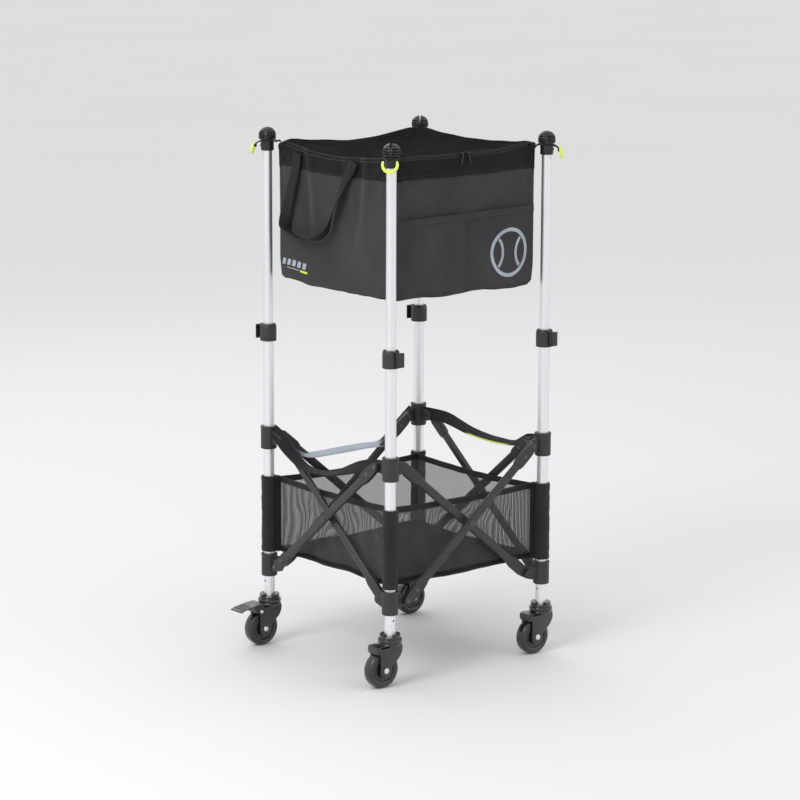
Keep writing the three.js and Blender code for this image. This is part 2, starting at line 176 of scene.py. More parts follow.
def moulded(name, colour, roughness, grain=0.00012):
    s = Shader(name, colour, roughness)
    p = s.coords()
    broad = s.noise(p, 28, 3)
    s.shade(s.ramp(broad), 0.88, 1.35)
    s.rough(broad, roughness * 0.85, roughness * 1.2)
    s.bump(s.noise(p, 900, 3), grain, 0.6)
    return s.mat


def aluminium():
    s = Shader("satin_aluminium", (0.87, 0.875, 0.885), 0.4, 1.0)
    streak = s.noise(s.coords(scale=(1, 1, 0.02)), 900, 3)
    s.shade(s.ramp(streak), 0.95, 1.0)
    s.rough(s.noise(s.coords(), 9, 4), 0.37, 0.44)
    s.bump(streak, 0.00002, 0.5)
    return s.mat


def steel(name, colour, roughness):
    s = Shader(name, colour, roughness, 1.0)
    p = s.coords()
    s.shade(s.ramp(s.noise(p, 120, 4)), 0.8, 1.05)
    s.bump(s.noise(p, 700, 3), 0.00005, 0.5)
    return s.mat


def gloss_black(name, roughness, colour, coat=0.5):
    s = Shader(name, colour, roughness, Coat_Weight=coat, Coat_Roughness=0.12)
    p = s.coords()
    broad = s.noise(p, 45, 4)
    s.shade(s.ramp(broad), 0.8, 1.5)
    s.rough(broad, roughness * 0.8, roughness * 1.35)
    s.bump(s.noise(p, 260, 3), 0.00012, 0.35)
    return s.mat


def neon(name, colour, roughness=0.38):
    s = Shader(
        name, colour, roughness,
        Subsurface_Weight=0.25, Subsurface_Scale=0.004, Subsurface_Radius=(1.0, 1.0, 0.3),
    )
    p = s.coords()
    s.shade(s.ramp(s.noise(p, 60, 3)), 0.9, 1.05)
    s.bump(s.noise(p, 700, 2), 0.00008, 0.4)
    return s.mat


def weave_height(s, pitch):
    """Over-and-under threads, pitch apart, in a cloth's own coordinates."""
    u, v = (s.math("MULTIPLY", x, 2 * math.pi / pitch) for x in s.split())
    threads = [s.math("ABSOLUTE", s.math("SINE", x)) for x in (u, v)]
    halves = [s.math("SINE", s.math("MULTIPLY", x, 0.5)) for x in (u, v)]
    over = s.math("MULTIPLY", s.math("MULTIPLY", *halves), 0.5)
    return s.math("ADD", over, s.math("MULTIPLY", *threads))


def canvas(
    name, colour, roughness=0.82, pitch=0.0011, sheen=0.08, fade=(0.82, 1.28), gloss=0.22, ior=1.5
):
    """Woven polyester: threads, slubs, and broad soft variation from handling."""
    s = Shader(
        name, colour, roughness,
        Sheen_Weight=sheen, Sheen_Roughness=0.5, Specular_IOR_Level=gloss, IOR=ior,
    )
    p = s.coords()
    broad = s.math("MULTIPLY", s.noise(p, 7, 5, 0.6), 0.7)
    slub = s.math("MULTIPLY", s.noise(s.coords("UV", (60, 900, 1)), 1, 3), 0.3)
    s.shade(s.ramp(s.math("ADD", broad, slub), at=(0.38, 0.62)), *fade)
    s.bump(s.noise(p, 38, 4), 0.0012, 0.35)
    s.bump(weave_height(s, pitch), 0.00018, 0.7)
    return s.mat


def webbing(name, colour, roughness=0.7, sheen=0.1, ior=1.3, edge=None, ends=None):
    """Ribbed strap; its UV runs along it in U and across it in V. An edge colour shows along
    one edge near the strap's middle, and an ends colour covers both of its ends."""
    s = Shader(name, colour, roughness, Sheen_Weight=sheen, Sheen_Roughness=0.4, IOR=ior)
    u, v = s.split()
    along = s.math("ADD", u, s.math("PINGPONG", v, 0.0031))
    s.bump(s.math("SINE", s.math("MULTIPLY", along, 2 * math.pi / 0.0021)), 0.00028, 0.8)
    broad = s.noise(s.coords(), 30, 4)
    s.shade(s.ramp(broad), 0.8, 1.25)
    if edge:
        low_edge = s.math("LESS_THAN", v, 0.0036 - 0.0125)
        away = s.math("ABSOLUTE", s.math("SUBTRACT", u, 0.1425))
        s.tint(s.math("MULTIPLY", low_edge, s.ramp(away, 1, 0, (0.055, 0.072))), colour, edge)
    if ends:
        away = s.math("ABSOLUTE", s.math("SUBTRACT", u, 0.21))
        patch = s.ramp(broad, 0, 0.22, (0.45, 0.7))
        far = s.ramp(away, at=(0.098, 0.112))
        s.tint(s.math("MAXIMUM", patch, far), colour, ends)
    return s.mat


def net(name, colour, pitch=0.0029):
    """Open knitted mesh: round holes on staggered rows let what is behind show through."""
    s = Shader(name, colour, 0.7, Sheen_Weight=0.2)
    u, v = s.split()
    u = s.math("MULTIPLY", u, 2 * math.pi / pitch)
    v = s.math("MULTIPLY", v, 2 * math.pi / (pitch * 0.8))
    waves = [s.math("COSINE", s.math(way, u, v)) for way in ("ADD", "SUBTRACT")]
    wave = s.math("ADD", *waves)
    s.fill(s.bsdf, {"Alpha": s.ramp(wave, 1, 0.1, (0.34 - 0.4, 0.34 + 0.4))})
    s.shade(s.ramp(s.noise(s.coords(), 40, 3)), 0.8, 1.3)
    s.bump(wave, 0.0003, 0.6)
    return s.mat


GLOSS, WEB_BLACK = (0.01, 0.01, 0.011), (0.014, 0.014, 0.0155)
M_TUBE = aluminium()
M_MOULD = moulded("black_moulding", (0.02, 0.02, 0.0215), 0.5)
M_CAP = moulded("cap_moulding", GLOSS, 0.36)
M_STRUT = moulded("strut_finish", (0.021, 0.0205, 0.022), 0.34, 0.00006)
M_FITTING = moulded("strut_fitting", (0.018, 0.018, 0.0195), 0.44)
M_PULL = neon("pull_neon", (0.7, 0.9, 0.13))
M_CASTER = gloss_black("caster_gloss", 0.28, GLOSS)
M_TYRE = gloss_black("wheel_gloss", 0.3, GLOSS)
M_PEDAL = gloss_black("pedal_enamel", 0.3, (0.012, 0.012, 0.013), 0.3)
M_BOLT = steel("bright_bolt", (0.82, 0.82, 0.84), 0.22)
M_RIVET = steel("dark_rivet", (0.12, 0.12, 0.13), 0.38)
# painted shade: a near-black finish that stands in for the shade inside holes, slits and grooves
M_PAINTED_SHADE = moulded("painted_shade_hole", (0.004, 0.004, 0.004), 0.9)
M_CANVAS = canvas("bag_canvas", (0.034, 0.032, 0.0355))
M_BAND = canvas("bag_band", (0.013, 0.013, 0.0145), 0.78, sheen=0.04, gloss=0.2, ior=1.25)
M_LID = canvas("lid_canvas", (0.012, 0.0117, 0.0127), 0.85, sheen=0.0, gloss=0.12, ior=1.12)
M_BINDING = canvas("binding_tape", (0.012, 0.012, 0.013), 0.62, 0.0018)
M_SLEEVE = canvas(
    "sleeve_cloth", (0.015, 0.0146, 0.0165), 0.62, 0.0009, 0.06, (0.75, 1.35), 0.3, 1.4
)
M_FLOOR_CLOTH = canvas(
    "basket_floor_cloth", (0.017, 0.0166, 0.0184), sheen=0.0, gloss=0.12, ior=1.15
)
M_THREAD = canvas("sewing_thread", (0.035, 0.034, 0.037), 0.6, 0.0006)
M_NET = net("basket_net", (0.03, 0.029, 0.031))
M_WEB = webbing("webbing_black", WEB_BLACK, 0.75, 0.04)
M_WEB_NEON = webbing("webbing_neon_edge", WEB_BLACK, 0.75, 0.04, edge=(0.62, 0.85, 0.12))
M_WEB_SILVER = webbing("webbing_silver", (0.4, 0.46, 0.52), 0.32, 0.1, 1.5, ends=WEB_BLACK)
M_CORD = webbing("cord_black", (0.018, 0.018, 0.02))
M_ZIP = steel("zip_black", (0.05, 0.05, 0.055), 0.35)
M_PRINT = moulded("grey_print", (0.3, 0.33, 0.37), 0.55, 0.00005)
M_PRINT_NEON = neon("neon_print", (0.55, 0.8, 0.05), 0.5)


# ---- pieces and shapes; a shape is a pair of verts and faces ----
def shown(name, mesh, body, replaces, fold):
    """Puts a mesh in the scene, where it rides on a body."""
    obj = bpy.data.objects.new(name, mesh)
    bpy.context.scene.collection.objects.link(obj)
    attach(obj, body)
    if replaces:
        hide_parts(replaces)
    if fold:
        fold_with(obj, *fold)
    return obj


def uv_layer(mesh, faces, uvs):
    layer = mesh.uv_layers.new(name="UVMap")
    flat = np.array([uvs[v] for f in faces for v in f], np.float32)
    layer.data.foreach_set("uv", flat.ravel())


def emit(name, shape, material, body, replaces=None, fold=None, angle=32, uvs=None):
    """A piece whose edges are sharp where they turn by more than angle; fold is (side, reach)."""
    mesh = bpy.data.meshes.new(name)
    verts, faces = shape
    mesh.from_pydata([tuple(v) for v in verts], [], faces)
    mesh.materials.append(material)
    if uvs:
        uv_layer(mesh, faces, uvs)
    mesh.update()
    mesh.validate()
    mesh.shade_smooth()
    mesh.set_sharp_from_angle(angle=math.radians(angle))
    return shown(name, mesh, body, replaces, fold)


def T(x, y, z):
    return Matrix.Translation((x, y, z))


def turned(degrees, axis="Z"):
    return Matrix.Rotation(math.radians(degrees), 4, axis)


Z_TO_Y = turned(90, "X")  # +Z goes to -Y
MIRROR_Y = Matrix.Diagonal((1, -1, 1, 1))


def flipped(faces):
    return [tuple(reversed(f)) for f in faces]


def place(shape, matrix):
    """Moves a shape, and turns its faces round if the matrix mirrors it."""
    verts, faces = shape
    mirrored = matrix.determinant() < 0
    return [matrix @ Vector(v) for v in verts], (flipped(faces) if mirrored else faces)


def joined(*shapes):
    verts, faces = [], []
    for v, f in shapes:
        k = len(verts)
        verts += list(v)
        faces += [tuple(i + k for i in face) for face in f]
    return verts, faces


def lathe(profile, segments=48, radius=None):
    """Turns (r, z) pairs about Z. An r of 0 is a pole; radius(r, z, angle) may vary it."""
    verts, rings = [], []
    for r, z in profile:
        if r == 0:
            rings.append([len(verts)] * segments)
            verts.append((0, 0, z))
            continue
        rings.append(list(range(len(verts), len(verts) + segments)))
        for i in range(segments):
            a = 2 * math.pi * i / segments
            k = radius(r, z, a) if radius else r
            verts.append((k * math.cos(a), k * math.sin(a), z))
    faces = []
    for a, b in zip(rings, rings[1:]):
        for i in range(segments):
            j = (i + 1) % segments
            if a[0] == a[1]:
                faces.append((a[0], b[j], b[i]))
            elif b[0] == b[1]:
                faces.append((a[i], a[j], b[0]))
            else:
                faces.append((a[i], a[j], b[j], b[i]))
    return verts, faces


def skin(rings):
    """A closed skin over rings of equally many points, capped at both ends."""
    m, faces = len(rings[0]), []
    for k in range(0, m * (len(rings) - 1), m):
        for i in range(m):
            j = (i + 1) % m
            faces.append((k + i, k + m + i, k + m + j, k + j))
    last = m * len(rings)
    faces += [tuple(range(m)), tuple(range(last - 1, last - m - 1, -1))]
    return [p for ring in rings for p in ring], faces


def prism(outline, low, high, bevel=0.0, segments=2):
    """An XY outline given thickness along Z, with its sharp edges rounded."""
    bm = bmesh.new()
    face = bm.faces.new([bm.verts.new((x, y, low)) for x, y in outline])
    bm.normal_update()
    if face.normal.z > 0:
        face.normal_flip()
    made = bmesh.ops.extrude_face_region(bm, geom=[face])
    top = [v for v in made["geom"] if isinstance(v, bmesh.types.BMVert)]
    bmesh.ops.translate(bm, verts=top, vec=(0, 0, high - low))
    bmesh.ops.recalc_face_normals(bm, faces=bm.faces)
    if bevel:
        bm.normal_update()
        sharp = [e for e in bm.edges if e.calc_face_angle(0) > math.radians(28)]
        bmesh.ops.bevel(
            bm, geom=sharp, offset=bevel, segments=segments, affect="EDGES", profile=0.6
        )
    return taken(bm)


def taken(bm):
    """The shape of a bmesh, which is freed."""
    bm.verts.index_update()
    shape = [v.co.copy() for v in bm.verts], [tuple(v.index for v in f.verts) for f in bm.faces]
    bm.free()
    return shape


def arc(cx, cy, r, start, end, steps):
    angles = (math.radians(start + (end - start) * i / steps) for i in range(steps + 1))
    return [(cx + r * math.cos(t), cy + r * math.sin(t)) for t in angles]


def rounded_box(sx, sy, sz, bevel, centre=(0, 0, 0)):
    x, y = sx / 2, sy / 2
    box = prism([(-x, -y), (x, -y), (x, y), (-x, y)], -sz / 2, sz / 2, bevel)
    return place(box, T(*centre))


def signs(name):
    return (1 if "right" in name else -1), (1 if "rear" in name else -1)


def outward(name):
    sx, sy = signs(name)
    return math.degrees(math.atan2(sy, sx))


def outward_frame(name):
    """Directions at a post: out along the diagonal, and across it."""
    out = Vector((*signs(name), 0)).normalized()
    return out, Vector((-out.y, out.x, 0))


# ---- posts ----
LEG_R, LEG_IN, LEG_FOOT = 0.011, 0.0101, 0.0963
MAST_R, MAST_IN = 0.0098, 0.0086
HOLE_FACING = {"front_left": -90, "front_right": 180, "rear_left": 180, "rear_right": 90}


def tube_shape(r_in, r_out, z0, z1):
    e = 0.0004
    return lathe([
        (r_in, z0), (r_out - e, z0), (r_out, z0 + e), (r_out, z1 - e), (r_out - e, z1),
        (r_in, z1), (r_in, z0),
    ])


def make_tubes():
    hole = lathe([(0, 0), (0.0019, 0), (0.0019, 0.0006), (0.0016, 0.00075), (0, 0.0007)], 20)
    for name in POSTS:
        at = T(*POST[name])
        leg, mast = "leg_" + name, "mast_" + name
        low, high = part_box(mast)
        outer = tube_shape(LEG_IN, LEG_R, LEG_FOOT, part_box(leg)[1].z)
        inner = tube_shape(MAST_IN, MAST_R, low.z, high.z)
        emit("outer_tube_" + name, place(outer, at), M_TUBE, leg, leg)
        emit("inner_tube_" + name, place(inner, at), M_TUBE, mast, mast)
        # cross hole under the lower hub, with a slightly turned-in rim: a near-black disc painted
        # as the shade inside the hole
        side = turned(HOLE_FACING[name]) @ T(LEG_R - 0.0006, 0, 0.131) @ turned(90, "Y")
        emit("cross_hole_painted_shade_" + name, place(hole, at @ side), M_PAINTED_SHADE, leg)


def make_sockets():
    body = lathe([
        (0.0054, 0.0872), (0.0222, 0.0872), (0.0234, 0.0885), (0.0234, 0.0935),
        (0.0226, 0.0948), (0.0203, 0.0952), (0.0203, 0.0985), (0.0196, 0.0995),
        (0.013, 0.0995), (0.0116, 0.0985), (0.0113, 0.097), (0.0054, 0.097), (0.0054, 0.0872),
    ], 56)
    lumps = []
    for turn in (-45, 135):
        outer = arc(0, 0, 0.02, turn - 56, turn + 56, 16)
        inner = arc(0, 0, 0.0122, turn + 50, turn - 50, 14)
        lumps.append(prism(outer + inner, 0.098, 0.1042, 0.0009))
    for name in POSTS:
        shape = place(joined(body, *lumps), T(*POST[name]))
        emit("caster_cup_" + name, shape, M_CASTER, "leg_" + name)


def hub_shape(z):
    """A sleeve round the post with an ear towards each of two struts."""
    q = 0.023
    body = lathe([
        (0.0113, z - q), (0.015, z - q), (0.016, z - q + 0.0014), (0.016, z - 0.0015),
        (0.01585, z), (0.016, z + 0.0015), (0.016, z + q - 0.0034), (0.0167, z + q - 0.0026),
        (0.0168, z + q - 0.001), (0.0163, z + q), (0.0132, z + q), (0.0113, z + q - 0.0016),
        (0.0113, z - q),
    ])
    outline = (
        [(0.0128, z - 0.015), (0.022, z - 0.013)]
        + arc(PIN_OUT, z, 0.009, -90, 90, 14)
        + [(0.022, z + 0.013), (0.0128, z + 0.015)]
    )
    ear = place(prism(outline, -0.004, 0.004, 0.0009), Z_TO_Y)
    rib = place(rounded_box(0.014, 0.003, 0.0105, 0.0008, (0.0215, z, 0)), Z_TO_Y)
    swap = Matrix(((0, 1, 0, 0), (1, 0, 0, 0), (0, 0, 1, 0), (0, 0, 0, 1)))
    one = joined(ear, rib)
    return joined(body, one, place(one, swap))


def make_hubs():
    for name in POSTS:
        sx, sy = signs(name)
        corner = T(*POST[name]) @ Matrix.Diagonal((-sx, -sy, 1, 1))
        for kind, z, body in (("lower", PIN_LOW, "leg_"), ("upper", PIN_HIGH, "sliding_hub_")):
            shape = place(hub_shape(z), corner)
            node = f"hub_{kind}_{name}"
            emit(f"{kind}_hub_{name}", shape, M_MOULD, body + name, node)


# ---- struts ----
PIN_HALF_SPAN = HALF - PIN_OUT
STRUT_LENGTH = math.hypot(2 * PIN_HALF_SPAN, PIN_RISE)
STRUT_ANGLE = math.degrees(math.atan2(PIN_RISE, 2 * PIN_HALF_SPAN))
STRUT_BESIDE = 0.0044 + 0.0045  # a strut's middle plane from that of the ears
FITTING_FACE = 0.0044


def strut_bar():
    """Rounded bar between the two end fittings, along X, its thickness along Z."""
    w, t, r = 0.0085, 0.0041, 0.003
    corners = ((w - r, t - r), (r - w, t - r), (r - w, r - t), (w - r, r - t))
    section = [p for i, c in enumerate(corners) for p in arc(*c, r, 90 * i, 90 * i + 90, 4)]
    stations = (0.04, STRUT_LENGTH / 2, STRUT_LENGTH - 0.04)
    v, f = skin([[(x, y, z) for y, z in section] for x in stations])
    return v, flipped(f)


def strut_fitting():
    """Moulded end: round eye at the pivot, wider boss where it takes the bar."""
    half = [(0.013, 0.0112), (0.044, 0.0115), (0.052, 0.0098), (0.055, 0.0088)]
    outline = arc(0, 0, 0.0085, 90, 270, 12) + [(x, -y) for x, y in half] + half[::-1]
    return prism(outline, -0.0045, 0.0045, 0.0014, 3)


def rivet_shape(r=0.0046):
    return lathe([
        (0, 0), (r, 0), (r, 0.0006), (r * 0.86, 0.0013), (r * 0.45, 0.0016),
        (r * 0.36, 0.0012), (0, 0.0011),
    ], 24)


def make_struts():
    bar, fitting, rivet = strut_bar(), strut_fitting(), rivet_shape()
    fittings = joined(fitting, place(fitting, T(STRUT_LENGTH, 0, 0) @ turned(180)))
    heads = [
        place(rivet, T(s, 0, FITTING_FACE))
        for s in (0.0, 0.029, STRUT_LENGTH - 0.029, STRUT_LENGTH)
    ]
    middle = place(rivet_shape(0.0055), T(STRUT_LENGTH / 2, 0, FITTING_FACE))
    kinds = (("bar", bar, M_STRUT), ("end_fittings", fittings, M_FITTING),
             ("rivets", joined(*heads), M_RIVET), ("cross_rivet", middle, M_RIVET))
    for turn, side in enumerate(("front", "right", "rear", "left")):
        for kind, sign in (("outer", -1), ("inner", 1)):
            at = T(sign * PIN_HALF_SPAN, -HALF + sign * STRUT_BESIDE, PIN_LOW)
            local = at @ turned(180 if sign > 0 else 0)
            world = T(*CENTRE) @ turned(90 * turn) @ local @ turned(-STRUT_ANGLE, "Y") @ Z_TO_Y
            body = f"strut_{side}_{kind}"
            for part, shape, material in kinds:
                emit(f"{part}_{side}_{kind}", place(shape, world), material, body,
                     body if part == "bar" else None)


# ---- collars with their levers ----
COLLAR_LOW, COLLAR_HIGH = 0.625, 0.659
LEVER_PIN, LEVER_FACE = 0.02, 0.0232  # from the post's axis


def make_collars():
    low, high = COLLAR_LOW, COLLAR_HIGH
    body = lathe([
        (0.0113, low), (0.0158, low), (0.0165, low + 0.001), (0.0165, high - 0.0052),
        (0.0158, high - 0.0042), (0.0156, high - 0.0012), (0.0148, high), (0.0118, high),
        (0.0101, high - 0.0012), (0.0101, 0.6403), (0.0113, 0.6403), (0.0113, low),
    ])
    z0, z1 = low + 0.006, high - 0.006
    eye = [(0.012, 0.0026), (0.012, -0.0026)] + arc(LEVER_PIN, 0, 0.0026, -90, 90, 12)
    horn = prism([
        (0.0138, low + 0.029), (0.0165, low + 0.029), (0.017, low + 0.0318),
        (0.0166, low + 0.034), (0.0138, low + 0.034),
    ], -0.0014, 0.0014, 0.0005)
    horns = [place(horn, T(0, y, 0) @ Z_TO_Y) for y in (-0.0062, 0.0058)]
    clamp = joined(body, prism(eye, z0, z1, 0.0005), *horns)
    # the slit is a thin near-black box painted as the shade down in the clamp's gap
    slit_at = (0.0164, -0.0041, (low + high) / 2)
    slit = rounded_box(0.0006, 0.0017, high - low - 0.008, 0.0002, slit_at)
    x = LEVER_FACE
    cheek = arc(LEVER_PIN, 0, 0.0026, 135, 270, 10) + [
        (x + 0.0012, -0.0026), (x + 0.003, -0.0006), (x + 0.003, 0.0084), (x, 0.012),
        (LEVER_PIN + 0.001, 0.0095),
    ]
    plate = [
        (x, -0.0016), (x + 0.0016, -0.0022), (x + 0.0026, -0.0016), (x + 0.0032, -0.0002),
        (x + 0.0035, 0.003), (x + 0.0034, 0.0075), (x + 0.0028, 0.0112), (x + 0.0014, 0.0134),
        (x - 0.0006, 0.0134), (x, 0.009),
    ]
    lever = joined(
        prism(cheek, z0 - 0.0029, z0 - 0.0003, 0.0006),
        prism(cheek, z1 + 0.0003, z1 + 0.0029, 0.0006),
        prism(plate, z0 - 0.0029, z1 + 0.0029, 0.0012, 3),
    )
    head = rivet_shape(0.0022)
    pins = joined(
        place(head, T(LEVER_PIN, 0, z1 + 0.0027)),
        place(head, T(LEVER_PIN, 0, z0 - 0.0027) @ turned(180, "X")),
    )
    for name in POSTS:
        at = T(*POST[name]) @ turned(90 * signs(name)[1])
        for part, shape, material, body, node in (
            ("clamp_", clamp, M_MOULD, "leg_", "collar_"),
            ("clamp_slit_painted_shade_", slit, M_PAINTED_SHADE, "leg_", None),
            ("flip_lever_", lever, M_MOULD, "lever_", "lever_"),
            ("lever_pin_", pins, M_RIVET, "lever_", None),
        ):
            emit(part + name, place(shape, at), material, body + name,
                 node and node + name)


# ---- caps ----
CAP_GROOVES = [0.0254 + 0.0046 * i for i in range(3)]
CAP_R, CAP_TOP = 0.0171, 0.046


def cap_radius(r, z, a):
    """Grooves round the dome stop at four ribs, one of them facing outwards."""
    rib = abs(((math.degrees(a) + 45) % 90) - 45)
    in_groove = any(low + 0.0001 < z < low + 0.0023 for low in CAP_GROOVES)
    return r - (0.0024 if in_groove and rib > 11 else 0)


def dome(z):
    """The dome's radius at a height, over its full radius."""
    return math.sqrt(max(0.0, 1 - max(0.0, (z - 0.029) / 0.0172) ** 2.3))


def cap_shape():
    profile = [
        (0.0101, 0.0), (0.0122, 0.0), (0.013, 0.0008), (0.013, 0.0195), (0.0134, 0.021),
        (0.015, 0.0216), (0.0162, 0.0228), (0.0169, 0.0246),
    ]
    heights = {0.0385, 0.04, 0.0415, 0.043, 0.0442, 0.0451, 0.0457}
    for low in CAP_GROOVES:
        heights.update((low, low + 0.0002, low + 0.0022, low + 0.0024))
    profile += [(CAP_R * dome(z), z) for z in sorted(heights)]
    return lathe(profile + [(0, CAP_TOP)], 96, cap_radius)


def paint_groove_shade(obj, turn):
    """The floors and walls of the grooves take the painted-shade material, a darker black painted
    as the shade down in them.
    """
    obj.data.materials.append(M_PAINTED_SHADE)
    back = turn.inverted()
    for face in obj.data.polygons:
        at = back @ face.center
        level = any(low - 0.00005 < at.z < low + 0.00245 for low in CAP_GROOVES)
        if level and math.hypot(at.x, at.y) < 0.01705 * dome(at.z) - 0.0008:
            face.material_index = 1


def cut(obj, shape):
    """Cuts a closed shape out of a piece."""
    mesh = bpy.data.meshes.new("cutter")
    mesh.from_pydata([tuple(v) for v in shape[0]], [], shape[1])
    other = bpy.data.objects.new("cutter", mesh)
    bpy.context.scene.collection.objects.link(other)
    mod = obj.modifiers.new("cut", "BOOLEAN")
    mod.operation = "DIFFERENCE"
    mod.object = other
    mod.solver = "EXACT"
    bpy.context.view_layer.update()
    dg = bpy.context.evaluated_depsgraph_get()
    made = bpy.data.meshes.new_from_object(obj.evaluated_get(dg))
    obj.modifiers.clear()
    obj.data = made
    bpy.data.objects.remove(other)
    bpy.data.meshes.remove(mesh)


def make_caps():
    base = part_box("cap_front_left")[0].z
    shape = cap_shape()
    slot = rounded_box(0.06, 0.0038, 0.03, 0.0004, (0, 0, 0.034 + 0.015))
    key = lathe([(0, 0.034), (0.0034, 0.034), (0.0034, 0.06), (0, 0.06)], 24)
    screw = lathe([(0, 0), (0.0028, 0), (0.0026, 0.0008), (0.0018, 0.0013), (0, 0.0013)], 20)
    for name in POSTS:
        at = T(POST[name].x, POST[name].y, base) @ turned(outward(name))
        body = "mast_" + name
        obj = emit("post_cap_" + name, place(shape, at), M_CAP, body, "cap_" + name)
        cut(obj, place(slot, at))
        cut(obj, place(key, at))
        obj.data.shade_smooth()
        obj.data.set_sharp_from_angle(angle=math.radians(32))
        # painted shade in the grooves round the cap
        paint_groove_shade(obj, at)
        facing = at @ T(0.0128, 0, 0.01) @ turned(90, "Y")
        emit("cap_screw_" + name, place(screw, facing), M_RIVET, body)


# ---- casters ----
def both_sides(shape, x, y, z):
    """A shape that faces out on each side of a caster."""
    return place(shape, T(x, -y, z) @ Z_TO_Y), place(shape, T(x, y, z) @ turned(-90, "X"))


def make_casters():
    outline = [
        (0.017, 0.0846), (0.0182, 0.077), (0.0172, 0.069), (0.0125, 0.06), (0.004, 0.052),
        (-0.004, 0.0455), (-0.008, 0.041), *arc(-AXLE_BACK, 0.0335, 0.014, 10, -170, 18),
        (-0.0358, 0.04), (-0.0358, 0.069), (-0.0372, 0.0715), (-0.0415, 0.073),
        (-0.0415, 0.08), (-0.037, 0.0846),
    ]
    cheek = place(prism(outline, -0.017, -0.014, 0.0009), Z_TO_Y)
    web = rounded_box(0.052, 0.034, 0.0055, 0.0012, (-0.0105, 0, 0.0822))
    hood = [(-0.037, -0.0165), (-0.043, -0.0135), (-0.043, 0.0135), (-0.037, 0.0165)]
    race = lathe([
        (0, 0.079), (0.0195, 0.079), (0.0212, 0.0805), (0.0222, 0.0822), (0.0224, 0.085),
        (0.0216, 0.0862), (0.0216, 0.0867), (0, 0.0867),
    ], 56)
    fork = joined(cheek, place(cheek, MIRROR_Y), web, prism(hood, 0.07, 0.085, 0.0014), race)
    bolt = lathe([
        (0, 0), (0.0048, 0), (0.0048, 0.0016), (0.004, 0.0026), (0.0018, 0.003), (0, 0.003),
    ], 28)
    nut = lathe([(0, 0), (0.0062, 0), (0.0062, 0.0012), (0.0056, 0.0016), (0, 0.0016)], 6)
    bolts = both_sides(bolt, -AXLE_BACK, 0.017, AXLE_UP)
    nuts = both_sides(nut, -AXLE_BACK, 0.0168, AXLE_UP)
    ends = joined(bolts[0], nuts[0], bolts[1], nuts[1])
    for name in POSTS:
        at, body = T(*POST[name]), "caster_" + name
        shell = f"fork_{name}_shell"
        emit(shell, place(fork, at), M_CASTER, body, "fork_" + name)
        emit("axle_bolt_" + name, place(ends, at), M_BOLT, body)


def make_wheels():
    side = [
        (0.0033, -0.0134), (0.0085, -0.0134), (0.0092, -0.0126), (0.0096, -0.0106),
        (0.015, -0.01), (0.0208, -0.0102), (0.0214, -0.0114), (0.0222, -0.0119),
        (0.0232, -0.0114), (0.0238, -0.0106), (0.0246, -0.0112), (0.027, -0.012),
        (0.03, -0.0119), (0.0326, -0.011), (0.0343, -0.0094), (0.0354, -0.007),
        (0.0359, -0.0038),
    ]
    profile = side + [(AXLE_UP, 0.0)] + [(a, -b) for a, b in reversed(side)] + [side[0]]
    wheel = place(lathe(profile, 80), Z_TO_Y)
    for name in POSTS:
        shape = place(wheel, T(POST[name].x - AXLE_BACK, POST[name].y, AXLE_UP))
        node = "wheel_" + name
        emit("tyre_" + name, shape, M_TYRE, node, node)


def make_pedal():
    top = [
        (-0.027, 0.0898), (-0.044, 0.0886), (-0.06, 0.0862), (-0.076, 0.0834),
        (-0.0838, 0.08), (-0.0846, 0.0784), (-0.0832, 0.0776), (-0.075, 0.081),
        (-0.059, 0.0839), (-0.0435, 0.0863), (-0.0275, 0.0876),
    ]
    blade = place(prism(top, -0.0185, 0.0185, 0.0008), Z_TO_Y)
    side = [(-0.029, 0.069), (-0.0268, 0.0888), (-0.056, 0.0858), (-0.04, 0.069)]
    ear = place(prism(side, -0.02, -0.0174, 0.0008), Z_TO_Y)
    ribs = [
        rounded_box(0.0018, 0.028, 0.0016, 0.0005, (-0.058 - 0.006 * i, 0, 0.0867 - 0.001 * i))
        for i in range(4)
    ]
    at = T(*POST["rear_left"])
    shape = joined(blade, joined(ear, place(ear, MIRROR_Y)), *ribs)
    emit("pedal", place(shape, at), M_PEDAL, "brake", "brake_pedal")
    pins = joined(*both_sides(rivet_shape(0.0034), -0.034, 0.0199, 0.074))
    emit("pedal_pin", place(pins, at), M_BOLT, "brake")


# ---- soft goods: helpers ----
SIDES = {
    "front": (0, "front_left"),
    "right": (90, "front_right"),
    "rear": (180, "rear_left"),
    "left": (270, "front_left"),
}
ALONG = {"front": (1, 0, 0), "right": (0, 1, 0), "rear": (1, 0, 0), "left": (0, 1, 0)}
BAG_CORNER = BAG_HALF - 0.0041
ON_FRONT, ON_LEFT = ("front", BAG_CORNER), ("left", BAG_CORNER)


def fold_with(obj, side, reach):
    """Gives a cloth between two posts its own copy of its mesh."""
    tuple(ALONG[side])
    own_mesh(obj)


def gather(obj, at_centre):
    """Gives a floor or lid panel its own copy of its mesh."""
    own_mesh(obj)


def on_side(side, along, outward, z):
    """A point at a distance along a side and outwards from the centre."""
    turn = math.radians(SIDES[side][0])
    c, s = math.cos(turn), math.sin(turn)
    x, y = along, -outward
    return Vector((CENTRE.x + c * x - s * y, CENTRE.y + s * x + c * y, z))


def side_vector(side, along, outward, z=0):
    return on_side(side, along, outward, z) - on_side(side, 0, 0, 0)


def above(x, y, z):
    """A point over the centre."""
    return Vector((CENTRE.x + x, CENTRE.y + y, z))


def ripple(p, scale, amount, seed=0.0):
    at = Vector((p[0] * scale + seed, p[1] * scale - seed, p[2] * scale + 3.1))
    return noise.noise(at) * amount


def bell(x, middle, width):
    return math.exp(-(((x - middle) / width) ** 2))


def ease(x, start, end):
    t = min(1, max(0, (x - start) / (end - start)))
    return t * t * (3 - 2 * t)


def bulge(x, reach, power=2):
    """1 at the middle, 0 at the reach and beyond."""
    return max(0, 1 - (x / reach) ** power)


def spread(start, end, steps):
    return [start + (end - start) * i / steps for i in range(steps + 1)]


